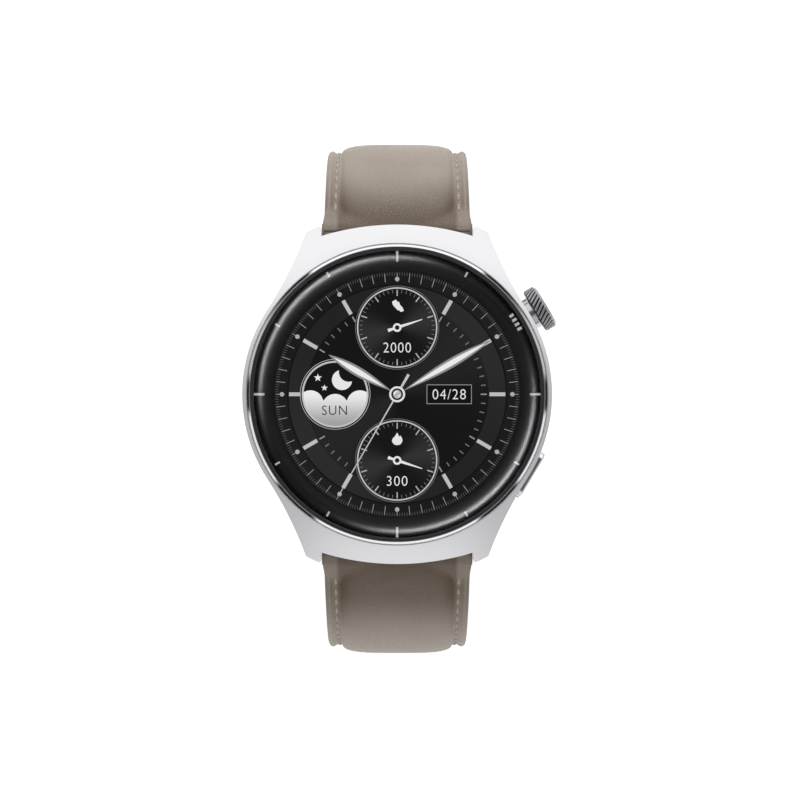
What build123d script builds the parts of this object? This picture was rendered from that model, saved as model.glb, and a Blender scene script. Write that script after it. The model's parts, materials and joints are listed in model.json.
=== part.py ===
"""Round steel smartwatch: cased display head, crown, side key and a two-piece padded leather strap.

Frame: +X to 3 o'clock, +Y to 12 o'clock, +Z out of the dial. The origin is the centre of the flat on the
sensor window, the face that rests on the wrist. Lengths are in millimetres and angles in degrees.
"""

import os
from math import cos, pi, radians, sin

from build123d import *

os.makedirs("parts", exist_ok=True)

# ---- overall sizes, which the others follow ----
case_radius = 23.0  # round part of the case, seen from above
strap_width = 21.9  # at the lugs

# ---- case ----
case_bottom_z = 1.4
case_top_z = 9.3
case_under_edge = 0.7  # chamfer on the lower rim
flank_angle = 33.0  # where the lug flank leaves the round, from 3 o'clock
lug_gap = strap_width + 0.7  # between the lugs' inner faces
lug_corner = (lug_gap / 2 + 2.25, case_radius + 1.1)  # outer corner of a lug tip
lug_reach = case_radius + 2.2  # furthest point of a lug along Y
hood_reach = case_radius + 2.2  # furthest point of the case end between the lugs
hood_side_reach = case_radius + 0.5  # the case end where it meets a lug
lug_round = 0.35
lug_drop = 2.9  # how far the lug tips fall below the upper rim
lug_drop_radius = case_radius + 5.4  # radius at which that fall is reached
lug_under_rise = 1.1  # how far the lug tips' undersides stand above the case's
wall_gap = 0.05  # between pieces that are bonded or clamped together
film_gap = 0.002  # between a thin film and what it is bonded to
groove_play = 0.02  # of a clip in its groove and a spring's end on its seat

# ---- case back and sensor ----
back_thickness = 1.0
back_radius = case_radius - 3.6
back_top_z = 2.2
screw_circle = case_radius - 5.2
screw_radius = 0.6
screw_head_radius = 1.1
screw_head_height = 0.5
screw_depth = 2.2
screw_angles = (60, 120, 240, 300)
cross_slot_length = 1.43
cross_slot_width = 0.25
cross_slot_depth = 0.3
gasket_inner = case_radius - 6.75
gasket_width = 0.5
gasket_height = 0.45
window_radius = case_radius - 10.0
window_flat_radius = window_radius - 5.0
window_ledge = 1.5  # the back plate's lip that holds the window
window_lip_z = 1.8
window_edge_z = 1.2  # where the window's dome meets its edge
window_dome_middle = (window_radius - 2.1, 0.42)

# ---- glass, display and bezel ----
glass_radius = case_radius - 1.65
glass_bottom_z = 9.1
glass_edge_z = 9.7
glass_roll_radius = glass_radius - 2.75  # where the rounded rim of the glass begins
glass_roll_z = 11.1
glass_top_z = 11.3
gasket_ring_width = 0.45
bezel_outer = case_radius - 0.6
bezel_bottom_z = 8.6
bezel_top_z = 9.75
border_inner = glass_radius - 3.1
border_thickness = 0.07
display_radius = glass_radius - 2.35
display_thickness = 0.55

# ---- inside of the case ----
lower_bay_radius = case_radius - 7.0
upper_bay_radius = case_radius - 3.4
bay_step_z = 5.0
board_radius = case_radius - 4.4
board_bottom_z = 7.75
board_thickness = 0.4
shield_height = 0.95
chassis_z = 6.1
chassis_thickness = 0.4
chassis_rim = 0.6
inside_gap = 0.2  # free air round the parts in the bays
battery_size = (17.6, 19.6, 2.7)
battery_centre = (-3.0, 0.0)
stack_z = 3.15  # underside of the battery, the motor and the speaker
motor_radius = 3.0
motor_centre = (9.7, 0.0)
speaker_size = (8.4, 4.0, 2.5)
speaker_centre = (-0.5, -12.9)
microphone_size = (3.0, 2.2, 1.0)
microphone_centre = (-3.0, 12.4)
sensor_board_radius = window_radius - 2.0
sensor_board_thickness = 0.35
led_height = 0.25
led_circle = 5.5
led_size = (2.0, 1.4)
led_block = 3.0
led_lens_radius = 0.7
coil_inner = window_radius - 1.3
coil_outer = case_radius - 7.7
coil_thickness = 0.3
ferrite_thickness = 0.18
ferrite_overlap = 0.2  # beyond the coil on each side
flex_x = -3.0
flex_width = 6.0
flex_skin = 0.08
flex_root_y = 5.0 - display_radius  # where the display's cable leaves the board
flex_fold_y = 1.4 - display_radius
shields = (((-7.5, 5.5), (9.0, 8.0)), ((-6.0, -6.5), (11.0, 7.0)), ((4.5, 0.0), (7.0, 9.0)))
shield_round = 0.6
battery_round = 1.5
speaker_round = 1.0
microphone_round = 0.3
motor_tab = 2.0
motor_tab_height = 0.4

# ---- crown at 2 o'clock ----
crown_angle = 31.0
axis_z = 5.8  # height of the crown's and the key's centre lines
knob_radius = 3.4
stem_radius = 1.2
knob_inner_r = case_radius + 0.8  # distances along the crown are from the centre of the watch
knob_outer_r = case_radius + 2.8
knob_round = 0.35
knurl_count = 44
knurl_depth = 0.16
knurl_width = 0.2
collar_radius = 2.4
collar_outer_r = case_radius + 0.7
crown_travel = 0.4
crown_seal_radius = 0.17  # of the rubber itself
crown_seal_places = (case_radius - 2.0, case_radius - 0.9)
crown_seal_sink = 0.14  # the seal's centre line lies this far inside the stem's surface
seal_groove_depth = 0.32
seal_groove_width = 0.48
clip_groove_depth = 0.25
clip_groove_play = 0.03
clip_mouth = 1.2
knob_end_wall = 1.0  # between the stem's end and the crown's outer face
press_play = 0.01  # round a shaft that is pressed in
knob_inner_gap = 0.15
knob_inner_play = 0.25  # beyond the travel, between the collar and the crown
run_gap = 0.05  # running clearance of a shaft in its bore, on the radius
tube_wall = 0.65
tube_inner_r = case_radius - 3.1
clip_thickness = 0.25
clip_radius = stem_radius + 0.55
ring_radius = min(stem_radius + 0.6, board_bottom_z - axis_z - wall_gap)  # clear of the board
ring_length = 0.9
ring_inset = 0.35
reader_inset = 0.2
reader_gap = 0.35
reader_size = (1.8, 0.5)
reader_length = 1.2
stem_inner_r = case_radius - 5.5
plate_thickness = 0.35
plate_size = (4.2, 3.2)
plate_round = 0.5
switch_outer_r = case_radius - 7.5
switch_depth = 1.1
switch_size = (3.4, 2.4)
switch_round = 0.3
plunger_radius = 0.6
plunger_gap = 0.1  # left between the plunger and the plate at the end of the travel
coil_wire = 0.25
crown_spring_radius = 1.05
crown_spring_turns = 3
crown_bay_half = 3.0
crown_bay_inner_r = case_radius - 9.4
crown_bay_bottom_z = 2.9

# ---- side key at 4 o'clock ----
key_angle = -31.0
key_length = 7.9
key_height = 2.6
key_outer_r = case_radius + 0.65
key_thickness = 1.3
key_gap = 0.1
key_travel = 0.35
key_pin_radius = 0.55
key_pin_spread = 2.5
key_wall_inner_r = case_radius - 3.1
key_bay_half = 4.5
key_bay_inner_r = case_radius - 7.4
key_bay_half_height = 1.6
key_clip_radius = 0.95
key_pin_stand = 0.75  # the pins reach this far into the bay
key_pusher_end_r = case_radius - 4.3
key_round = 0.35
key_seal_r = case_radius - 2.1
key_seal_radius = 0.12
key_seal_sink = 0.09
key_seal_groove = (0.4, 0.22)  # width and depth
key_clip_groove = 0.25
key_clip_groove_depth = 0.15
key_clip_mouth = 0.6
key_bracket_r = case_radius - 6.8
key_bracket_thickness = 0.4
key_bracket_height = 2.6
key_bracket_side = 0.8
key_bracket_post = 0.9
key_bracket_round = 0.4
key_switch_size = (3.2, 2.2)
leaf_base_r = case_radius - 5.1
key_leaf_thickness = 0.15
key_leaf_bow = 0.55
key_leaf_half = 3.0
key_leaf_width = 1.2

# ---- strap ----
bar_y = case_radius + 0.2
bar_z = 3.0
bar_radius = 0.9
bar_wall = 0.35
bar_half = strap_width / 2 - 0.35
tip_radius = 0.45
tip_reach = 1.1  # how far a tip enters its lug
tip_flange = 0.15
release_travel = 1.2
lever_x = bar_half - 3.6
lever_radius = 0.4
lever_length = 2.9
lever_head = 0.5
lever_head_lip = 0.2
lever_gap = 0.15  # round the lever in its slot
lever_end_gap = 0.25
spring_play = 0.02  # at each end of a bar's coil
bar_spring_half = 1.8
bar_spring_wire = 0.12
bar_spring_turns = 6
roll_radius = bar_radius + 1.3
roll_gap = 0.1
scoop_gap = 0.55  # between the rolled strap end and the case
strap_end_width = strap_width - 3.9
strap_taper_length = 78.0
leave_angle = 25.0  # below the horizontal, where the strap leaves its bar
lead_length = 1.0
margin_thickness = 1.0  # outer leather beside the padding
lining_thickness = 1.15
glue_line = 0.06
stitch_margin = 1.5  # least width of the flat margins
shell_wall = 0.8  # outer leather over the padding's edges
shoulder_share = 0.8  # height of the shoulders against the middle
pad_thinnest = 0.15
pad_end_back = 2.0  # the padding stops this far before the plain strip
pad_width = strap_width - 5.3
pad_shoulder = 0.9
pad_height = 1.2
pad_full_length = 34.0
pad_length = 66.0
pad_start = 3.6
pad_least = 0.02  # the raised middle fades to this before the plain part begins
short_bend = 20.0
short_turn = 24.0
short_flat = 20.0
long_bend = 22.5
long_drop = 14.0
long_turn = 24.0
long_flat = 42.0
tip_cut = 7.0  # length of the rounded tail end
hole_radius = 0.95
hole_count = 6
hole_pitch = 5.5
hole_first = 11.0  # from the tail's end

# ---- keepers and buckle ----
keeper_wall = 1.0
keeper_width = 4.5
tail_room = 2.6  # height left in a keeper for the other strap half
keeper_gap = 0.35  # of the free keeper
keeper_fit = 0.1  # of the fixed keeper
fixed_keeper_back = 3.6  # from the buckle bar to the fixed keeper
free_keeper_back = 9.2
buckle_bar_radius = 0.75
buckle_roll_radius = buckle_bar_radius + 1.0
buckle_arm_inner = strap_end_width / 2 + 0.5
buckle_arm_outer = buckle_arm_inner + 1.8
buckle_reach = 9.5  # from the bar to the middle of the cross bar
buckle_thickness = 2 * buckle_bar_radius + 0.5
buckle_back = 1.5
cross_bar_depth = 2.4
buckle_corner = 1.4
tongue_width = 1.8
tongue_thickness = 1.1
tongue_eye_radius = buckle_bar_radius + 0.85
tongue_slot_gap = 0.35
tongue_overhang = 0.4  # beyond the cross bar
tongue_nose = 0.4
tongue_neck = (2.4, 3.0)  # where the tongue's outer and inner lines leave its eye
tongue_belly = 0.6


def radial(angle, distance, z=axis_z):
    """Plane that faces outward at an angle from 3 o'clock: local X is level, local Y is up."""
    outward = Vector(cos(radians(angle)), sin(radians(angle)), 0)
    across = Vector(-sin(radians(angle)), cos(radians(angle)), 0)
    return Plane(origin=outward * distance + Vector(0, 0, z), x_dir=across, z_dir=outward)


def side_plane(x, y=0, z=0):
    """Plane across the watch at a given place: local X runs to 12 o'clock and local Y up."""
    return Plane(origin=(x, y, z), x_dir=(0, 1, 0), z_dir=(1, 0, 0))


def disc(radius, z, height):
    """A round plate on the watch's axis, added to the part being built."""
    with BuildSketch(Plane.XY.offset(z)) as profile:
        Circle(radius)
    extrude(profile.sketch, amount=height)


def ring(outer, inner, z, height):
    """A flat ring on the watch's axis, added to the part being built."""
    with BuildSketch(Plane.XY.offset(z)) as profile:
        Circle(outer)
        Circle(inner, mode=Mode.SUBTRACT)
    extrude(profile.sketch, amount=height)


def shaft(plane, radius, length):
    """A round shaft that starts on a plane, added to the part being built."""
    with BuildSketch(plane) as profile:
        Circle(radius)
    extrude(profile.sketch, amount=length)


def bore(plane, radius, length):
    """A round hole that starts on a plane, taken from the part being built."""
    with BuildSketch(plane) as profile:
        Circle(radius)
    extrude(profile.sketch, amount=length, mode=Mode.SUBTRACT)


def bay(angle, inner_r, outer_r, half_width, low_z, high_z):
    """A straight-sided pocket for a control's inner parts, taken from the part being built."""
    with BuildSketch(radial(angle, inner_r, 0)) as profile:
        with Locations((0, (low_z + high_z) / 2)):
            Rectangle(2 * half_width, high_z - low_z)
    extrude(profile.sketch, amount=outer_r - inner_r, mode=Mode.SUBTRACT)


def screw_spots(z):
    """Planes at a height, facing up, one on each screw of the case back."""
    return [
        Plane.XY.offset(z).move(
            Location((screw_circle * cos(radians(angle)), screw_circle * sin(radians(angle)), 0))
        )
        for angle in screw_angles
    ]


def control_bays(low_z, high_z):
    """The pockets behind the crown and the side key."""
    bay(crown_angle, crown_bay_inner_r, tube_inner_r, crown_bay_half, low_z, high_z)
    bay(key_angle, key_bay_inner_r, key_wall_inner_r, key_bay_half, low_z, high_z)


# =============================== case ===============================
tube_radius = stem_radius + run_gap + tube_wall
scoop_radius = roll_radius + scoop_gap
hood_z = bar_z + scoop_radius
key_slot_r = key_outer_r - key_thickness - key_travel - key_gap
flank_start = (case_radius * cos(radians(flank_angle)), case_radius * sin(radians(flank_angle)))
flank_heading = (-sin(radians(flank_angle)), cos(radians(flank_angle)))
lug_inner = lug_gap / 2

with BuildPart() as mid_case:
    with BuildSketch(Plane.XY.offset(case_bottom_z)) as case_outline:
        with BuildLine():
            CenterArc((0, 0), case_radius, 0, flank_angle)
            TangentArc(flank_start, lug_corner, tangent=flank_heading)
            Line(lug_corner, (lug_inner, lug_reach))
            Line((lug_inner, lug_reach), (lug_inner, hood_side_reach))
            ThreePointArc(
                (lug_inner, hood_side_reach),
                (lug_inner / 2, hood_reach - (hood_reach - hood_side_reach) / 4),
                (0, hood_reach),
            )
            Line((0, hood_reach), (0, 0))
            Line((0, 0), (case_radius, 0))
        make_face()
        mirror(about=Plane.YZ)
        mirror(about=Plane.XZ)
        lug_tips = [v for v in case_outline.vertices() if abs(v.Y) > lug_corner[1] - 1e-3]
        fillet([v for v in lug_tips if abs(v.X) > 1], lug_round)
    extrude(amount=case_top_z - case_bottom_z)
    # the lugs and the case ends fall away from the bezel
    with BuildSketch(Plane.XZ):
        with BuildLine():
            ThreePointArc(
                (bezel_outer, case_top_z),
                ((bezel_outer + lug_drop_radius) / 2, case_top_z - lug_drop * 0.36),
                (lug_drop_radius, case_top_z - lug_drop),
            )
            Line((lug_drop_radius, case_top_z - lug_drop), (lug_drop_radius, case_top_z + 1))
            Line((lug_drop_radius, case_top_z + 1), (bezel_outer, case_top_z + 1))
            Line((bezel_outer, case_top_z + 1), (bezel_outer, case_top_z))
        make_face()
    revolve(axis=Axis.Z, mode=Mode.SUBTRACT)
    with BuildSketch(Plane.XZ):
        with BuildLine():
            Polyline(
                (case_radius - case_under_edge, case_bottom_z),
                (case_radius, case_bottom_z + case_under_edge),
                (lug_drop_radius, case_bottom_z + lug_under_rise),
                (lug_drop_radius, case_bottom_z - 1),
                (case_radius - case_under_edge, case_bottom_z - 1),
                close=True,
            )
        make_face()
    revolve(axis=Axis.Z, mode=Mode.SUBTRACT)
    # scoops for the rolled strap ends, under the case's hoods
    for side in (1, -1):
        with BuildSketch(side_plane(-lug_inner)):
            with Locations((side * bar_y, bar_z)):
                Circle(scoop_radius)
            with Locations((side * (bar_y + lug_reach) / 2, hood_z - scoop_radius * 1.5)):
                Rectangle(lug_reach - bar_y, scoop_radius * 3)
            with Locations((side * (lug_reach + 1), hood_z - scoop_radius * 1.5)):
                Rectangle(2, scoop_radius * 3)
        extrude(amount=lug_gap, mode=Mode.SUBTRACT)
        bore(side_plane(-lug_inner - tip_reach - wall_gap, side * bar_y, bar_z),
             tip_radius + run_gap, lug_gap + 2 * (tip_reach + wall_gap))
    # bays, seats and recesses on the watch's axis
    for radius, low, high in (
        (back_radius + wall_gap, 0, back_top_z),
        (lower_bay_radius, 0, bay_step_z + 1),
        (upper_bay_radius, bay_step_z, case_top_z + 1),
        (glass_radius + wall_gap, glass_bottom_z - wall_gap, case_top_z + 1),
    ):
        with BuildSketch(Plane.XY.offset(low)):
            Circle(radius)
        extrude(amount=high - low, mode=Mode.SUBTRACT)
    with BuildSketch(Plane.XY.offset(bezel_bottom_z)):
        Circle(bezel_outer + wall_gap)
        Circle(glass_radius, mode=Mode.SUBTRACT)
    extrude(amount=case_top_z, mode=Mode.SUBTRACT)
    with BuildSketch(Plane.XY.offset(back_top_z)):
        Circle(gasket_inner + gasket_width + wall_gap)
        Circle(gasket_inner - wall_gap, mode=Mode.SUBTRACT)
    extrude(amount=gasket_height, mode=Mode.SUBTRACT)
    for spot in screw_spots(back_top_z):
        bore(spot, screw_radius + wall_gap, screw_depth + wall_gap)
    # crown
    bay(crown_angle, crown_bay_inner_r, tube_inner_r, crown_bay_half, crown_bay_bottom_z,
        board_bottom_z + board_thickness)
    bore(radial(crown_angle, lower_bay_radius), tube_radius + wall_gap / 2, case_radius)
    # side key
    bay(key_angle, key_bay_inner_r, key_wall_inner_r, key_bay_half,
        axis_z - key_bay_half_height, axis_z + key_bay_half_height)
    with BuildSketch(radial(key_angle, key_slot_r)):
        SlotOverall(key_length + 2 * key_gap, key_height + 2 * key_gap)
    extrude(amount=case_radius, mode=Mode.SUBTRACT)
    with BuildSketch(radial(key_angle, lower_bay_radius)):
        with Locations((-key_pin_spread, 0), (0, 0), (key_pin_spread, 0)):
            Circle(key_pin_radius + run_gap)
    extrude(amount=case_radius - lower_bay_radius, mode=Mode.SUBTRACT)

with BuildPart() as bezel_ring:
    gasket_outer = glass_radius + wall_gap + gasket_ring_width
    with BuildSketch(Plane.XZ):
        with BuildLine():
            Polyline(
                (gasket_outer + wall_gap, bezel_bottom_z + wall_gap),
                (bezel_outer, bezel_bottom_z + wall_gap),
                (bezel_outer, case_top_z + 0.05),
                (gasket_outer + wall_gap, bezel_top_z),
                close=True,
            )
        make_face()
    revolve(axis=Axis.Z)

with BuildPart() as glass_gasket:
    ring(gasket_outer, glass_radius + wall_gap, bezel_bottom_z + wall_gap,
         glass_edge_z - bezel_bottom_z - 2 * wall_gap)

with BuildPart() as cover_glass:
    with BuildSketch(Plane.XZ):
        with BuildLine():
            Line((0, glass_bottom_z), (glass_radius, glass_bottom_z))
            Line((glass_radius, glass_bottom_z), (glass_radius, glass_edge_z))
            roll_middle = (
                glass_roll_radius + (glass_radius - glass_roll_radius) * 0.62,
                glass_edge_z + (glass_roll_z - glass_edge_z) * 0.68,
            )
            ThreePointArc((glass_radius, glass_edge_z), roll_middle, (glass_roll_radius, glass_roll_z))
            Spline(
                (glass_roll_radius, glass_roll_z),
                (glass_roll_radius / 2, glass_roll_z + (glass_top_z - glass_roll_z) * 0.75),
                (0, glass_top_z),
            )
            Line((0, glass_top_z), (0, glass_bottom_z))
        make_face()
    revolve(axis=Axis.Z)

border_z = glass_bottom_z - border_thickness
with BuildPart() as border_print:
    ring(upper_bay_radius - wall_gap, border_inner, border_z, border_thickness)

display_z = border_z - display_thickness
with BuildPart() as display_panel:
    disc(display_radius, display_z, display_thickness)

board_top_z = board_bottom_z + board_thickness
with BuildPart() as display_flex:
    flex_height = display_z - board_top_z
    flex_fold = flex_height / 2
    flex_low_z = board_top_z + flex_skin / 2
    flex_high_z = display_z - flex_skin / 2
    with BuildSketch(side_plane(flex_x)):
        with BuildLine():
            Line((flex_root_y, flex_low_z), (flex_fold_y, flex_low_z))
            ThreePointArc(
                (flex_fold_y, flex_low_z),
                (flex_fold_y - flex_fold + flex_skin / 2, board_top_z + flex_fold),
                (flex_fold_y, flex_high_z),
            )
            Line((flex_fold_y, flex_high_z), (flex_root_y, flex_high_z))
            offset(amount=flex_skin / 2 - film_gap)
        make_face()
    extrude(amount=flex_width)

with BuildPart() as case_back:
    disc(back_radius, back_top_z - back_thickness, back_thickness)
    bore(Plane.XY, window_radius + wall_gap, window_lip_z)
    bore(Plane.XY, window_radius - window_ledge + wall_gap, back_top_z)
    for spot in screw_spots(0):
        bore(spot, screw_radius + wall_gap, back_top_z)
        bore(spot, screw_head_radius + wall_gap, back_top_z - back_thickness + screw_head_height)

with BuildPart() as back_gasket:
    ring(gasket_inner + gasket_width, gasket_inner, back_top_z, gasket_height - wall_gap)

with BuildPart() as back_screws:
    for spot in screw_spots(back_top_z - back_thickness):
        shaft(spot, screw_head_radius, screw_head_height)
        shaft(spot, screw_radius, back_thickness + screw_depth)
        with BuildSketch(spot):
            Rectangle(cross_slot_length, cross_slot_width)
            Rectangle(cross_slot_width, cross_slot_length)
        extrude(amount=cross_slot_depth, mode=Mode.SUBTRACT)

with BuildPart() as sensor_window:
    with BuildSketch(Plane.XZ):
        with BuildLine():
            Line((0, 0), (window_flat_radius, 0))
            ThreePointArc((window_flat_radius, 0), window_dome_middle, (window_radius, window_edge_z))
            Polyline(
                (window_radius, window_edge_z),
                (window_radius, window_lip_z),
                (window_radius - window_ledge, window_lip_z),
                (window_radius - window_ledge, back_top_z),
                (0, back_top_z),
                (0, 0),
            )
        make_face()
    revolve(axis=Axis.Z)

# ============================ electronics ============================
with BuildPart() as sensor_board:
    disc(sensor_board_radius, back_top_z + wall_gap + led_height, sensor_board_thickness)

with BuildPart() as sensor_leds:
    with BuildSketch(Plane.XY.offset(back_top_z + wall_gap)):
        Rectangle(led_block, led_block)
        with PolarLocations(led_circle, 4):
            Rectangle(*led_size)
        with PolarLocations(led_circle, 4, 45):
            Circle(led_lens_radius)
    extrude(amount=led_height)

with BuildPart() as charge_coil:
    ring(coil_outer, coil_inner, back_top_z + wall_gap, coil_thickness)

with BuildPart() as ferrite_sheet:
    ring(coil_outer + ferrite_overlap, coil_inner - ferrite_overlap,
         back_top_z + 2 * wall_gap + coil_thickness, ferrite_thickness)

with BuildPart() as battery:
    with BuildSketch(Plane.XY.offset(stack_z)):
        with Locations(battery_centre):
            RectangleRounded(battery_size[0], battery_size[1], battery_round)
    extrude(amount=battery_size[2])

with BuildPart() as vibration_motor:
    shaft(Plane.XY.offset(stack_z).move(Location((*motor_centre, 0))), motor_radius, battery_size[2])
    with BuildSketch(Plane.XY.offset(stack_z)):
        with Locations((motor_centre[0], -motor_radius)):
            Rectangle(motor_tab, motor_tab)
    extrude(amount=motor_tab_height)

with BuildPart() as speaker:
    with BuildSketch(Plane.XY.offset(stack_z)):
        with Locations(speaker_centre):
            RectangleRounded(speaker_size[0], speaker_size[1], speaker_round)
    extrude(amount=speaker_size[2])

with BuildPart() as microphone:
    with BuildSketch(Plane.XY.offset(stack_z)):
        with Locations(microphone_centre):
            RectangleRounded(microphone_size[0], microphone_size[1], microphone_round)
    extrude(amount=microphone_size[2])

with BuildPart() as inner_chassis:
    disc(upper_bay_radius - inside_gap, chassis_z, chassis_thickness)
    ring(upper_bay_radius - inside_gap, upper_bay_radius - inside_gap - chassis_rim, chassis_z,
         board_bottom_z - chassis_z - wall_gap)
    control_bays(chassis_z - 1, board_bottom_z)

with BuildPart() as main_board:
    disc(board_radius, board_bottom_z, board_thickness)

with BuildPart() as chip_shields:
    with BuildSketch(Plane.XY.offset(board_bottom_z - shield_height)):
        for centre, size in shields:
            with Locations(centre):
                RectangleRounded(*size, shield_round)
    extrude(amount=shield_height)

# =============================== crown ===============================
clip_outer_r = tube_inner_r - wall_gap
stem_outer_r = knob_outer_r - knob_end_wall

with BuildPart() as crown_tube:
    shaft(radial(crown_angle, tube_inner_r), tube_radius, collar_outer_r - tube_inner_r)
    shaft(radial(crown_angle, case_radius), collar_radius, collar_outer_r - case_radius)
    bore(radial(crown_angle, 0), stem_radius + run_gap, collar_outer_r)

with BuildPart() as crown_stem:
    shaft(radial(crown_angle, stem_inner_r), stem_radius, stem_outer_r - stem_inner_r)
    for place in crown_seal_places:
        with BuildSketch(radial(crown_angle, place - seal_groove_width / 2)):
            Circle(stem_radius)
            Circle(stem_radius - seal_groove_depth, mode=Mode.SUBTRACT)
        extrude(amount=seal_groove_width, mode=Mode.SUBTRACT)
    with BuildSketch(radial(crown_angle, clip_outer_r - clip_thickness - wall_gap)):
        Circle(stem_radius)
        Circle(stem_radius - clip_groove_depth, mode=Mode.SUBTRACT)
    extrude(amount=clip_thickness + wall_gap, mode=Mode.SUBTRACT)

with BuildPart() as crown_seals:
    for place in crown_seal_places:
        with Locations(radial(crown_angle, place).location):
            Torus(stem_radius - crown_seal_sink, crown_seal_radius)

with BuildPart() as crown_clip:
    with BuildSketch(radial(crown_angle, clip_outer_r - clip_thickness)):
        Circle(clip_radius)
        Circle(stem_radius - clip_groove_depth + clip_groove_play, mode=Mode.SUBTRACT)
        with Locations((0, -clip_radius)):
            Rectangle(clip_mouth, clip_radius * 1.6, mode=Mode.SUBTRACT)
    extrude(amount=clip_thickness - groove_play)

with BuildPart() as crown_knob:
    knob_length = knob_outer_r - knob_inner_r
    shaft(radial(crown_angle, knob_inner_r), knob_radius, knob_length)
    fillet(crown_knob.edges().filter_by(GeomType.CIRCLE), knob_round)
    with BuildSketch(radial(crown_angle, knob_inner_r)):
        with PolarLocations(knob_radius, knurl_count):
            Rectangle(2 * knurl_depth, knurl_width)
    extrude(amount=knob_length, mode=Mode.SUBTRACT)
    bore(radial(crown_angle, knob_inner_r), collar_radius + knob_inner_gap, crown_travel + knob_inner_play)
    bore(radial(crown_angle, knob_inner_r), stem_radius + press_play, knob_length - knob_end_wall)

with BuildPart() as encoder_ring:
    with BuildSketch(radial(crown_angle, stem_inner_r + ring_inset)):
        Circle(ring_radius)
        Circle(stem_radius + press_play, mode=Mode.SUBTRACT)
    extrude(amount=ring_length)

with BuildPart() as encoder_sensor:
    with BuildSketch(radial(crown_angle, stem_inner_r + reader_inset)):
        with Locations((0, -ring_radius - reader_gap - reader_size[1] / 2)):
            Rectangle(*reader_size)
    extrude(amount=reader_length)

plate_outer_r = stem_inner_r - wall_gap
with BuildPart() as crown_push_plate:
    with BuildSketch(radial(crown_angle, plate_outer_r - plate_thickness)):
        RectangleRounded(plate_size[0], plate_size[1], plate_round)
    extrude(amount=plate_thickness)

with BuildPart() as crown_switch:
    with BuildSketch(radial(crown_angle, switch_outer_r - switch_depth)):
        RectangleRounded(switch_size[0], switch_size[1], switch_round)
    extrude(amount=switch_depth)
    shaft(radial(crown_angle, switch_outer_r), plunger_radius,
          plate_outer_r - plate_thickness - switch_outer_r - crown_travel - plunger_gap)

crown_spring_low = switch_outer_r + coil_wire / 2 + groove_play
crown_spring_high = plate_outer_r - plate_thickness - coil_wire / 2 - groove_play
crown_spring_rise = crown_spring_high - crown_spring_low
with BuildPart() as crown_spring:
    spring_seat = radial(crown_angle, crown_spring_low)
    with BuildLine() as crown_coil:
        Helix(crown_spring_rise / crown_spring_turns, crown_spring_rise, crown_spring_radius,
              center=spring_seat.origin, direction=spring_seat.z_dir)
    with BuildSketch(crown_coil.line ^ 0):
        Circle(coil_wire / 2)
    sweep(is_frenet=True)

# ============================== side key ==============================
key_inner_r = key_outer_r - key_thickness
key_pin_end_r = key_wall_inner_r - key_pin_stand
key_pins = ((-key_pin_spread, 0), (0, 0), (key_pin_spread, 0))
key_guides = ((-key_pin_spread, 0), (key_pin_spread, 0))
key_clip_r = key_wall_inner_r - wall_gap - key_clip_groove

with BuildPart() as side_button:
    with BuildSketch(radial(key_angle, key_inner_r)):
        SlotOverall(key_length, key_height)
    extrude(amount=key_thickness)
    fillet(side_button.faces().sort_by(Axis(origin=(0, 0, 0), direction=radial(key_angle, 1).z_dir))[-1]
           .edges(), key_round)
    with BuildSketch(radial(key_angle, key_pin_end_r)):
        with Locations(*key_guides):
            Circle(key_pin_radius)
    extrude(amount=key_inner_r - key_pin_end_r)
    shaft(radial(key_angle, key_pusher_end_r), key_pin_radius, key_inner_r - key_pusher_end_r)
    with BuildSketch(radial(key_angle, key_seal_r - key_seal_groove[0] / 2)):
        with Locations(*key_pins):
            Circle(key_pin_radius)
            Circle(key_pin_radius - key_seal_groove[1], mode=Mode.SUBTRACT)
    extrude(amount=key_seal_groove[0], mode=Mode.SUBTRACT)
    with BuildSketch(radial(key_angle, key_clip_r)):
        with Locations(*key_guides):
            Circle(key_pin_radius)
            Circle(key_pin_radius - key_clip_groove_depth, mode=Mode.SUBTRACT)
    extrude(amount=key_clip_groove, mode=Mode.SUBTRACT)

with BuildPart() as button_seals:
    for spot in key_pins:
        with Locations(radial(key_angle, key_seal_r).location * Location((spot[0], spot[1], 0))):
            Torus(key_pin_radius - key_seal_sink, key_seal_radius)

with BuildPart() as button_clips:
    with BuildSketch(radial(key_angle, key_clip_r + groove_play)):
        with Locations(*key_guides):
            Circle(key_clip_radius)
            Circle(key_pin_radius - key_clip_groove_depth + groove_play, mode=Mode.SUBTRACT)
        with Locations(*[(x, -key_clip_radius) for x, _ in key_guides]):
            Rectangle(key_clip_mouth, key_clip_radius * 1.6, mode=Mode.SUBTRACT)
    extrude(amount=key_clip_groove - 2 * groove_play)

with BuildPart() as button_spring:
    with BuildSketch(Plane(origin=(0, 0, axis_z - key_leaf_width / 2), x_dir=radial(key_angle, 1).x_dir,
                           z_dir=(0, 0, 1))):
        leaf_mid = leaf_base_r + key_leaf_thickness / 2 + groove_play
        leaf_end = leaf_mid + key_leaf_bow
        with BuildLine():
            ThreePointArc((-key_leaf_half, -leaf_end), (0, -leaf_mid), (key_leaf_half, -leaf_end))
            offset(amount=key_leaf_thickness / 2)
        make_face()
    extrude(amount=key_leaf_width)

with BuildPart() as button_bracket:
    with BuildSketch(radial(key_angle, key_bracket_r)):
        RectangleRounded(2 * (key_leaf_half + key_bracket_side), key_bracket_height, key_bracket_round)
    extrude(amount=key_bracket_thickness)
    key_post_r = key_bracket_r + key_bracket_thickness
    key_post_x = key_leaf_half - key_bracket_thickness
    with BuildSketch(radial(key_angle, key_post_r)):
        with Locations((-key_post_x, 0), (key_post_x, 0)):
            Rectangle(key_bracket_post, key_bracket_height)
    extrude(amount=leaf_base_r - key_post_r)

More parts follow.
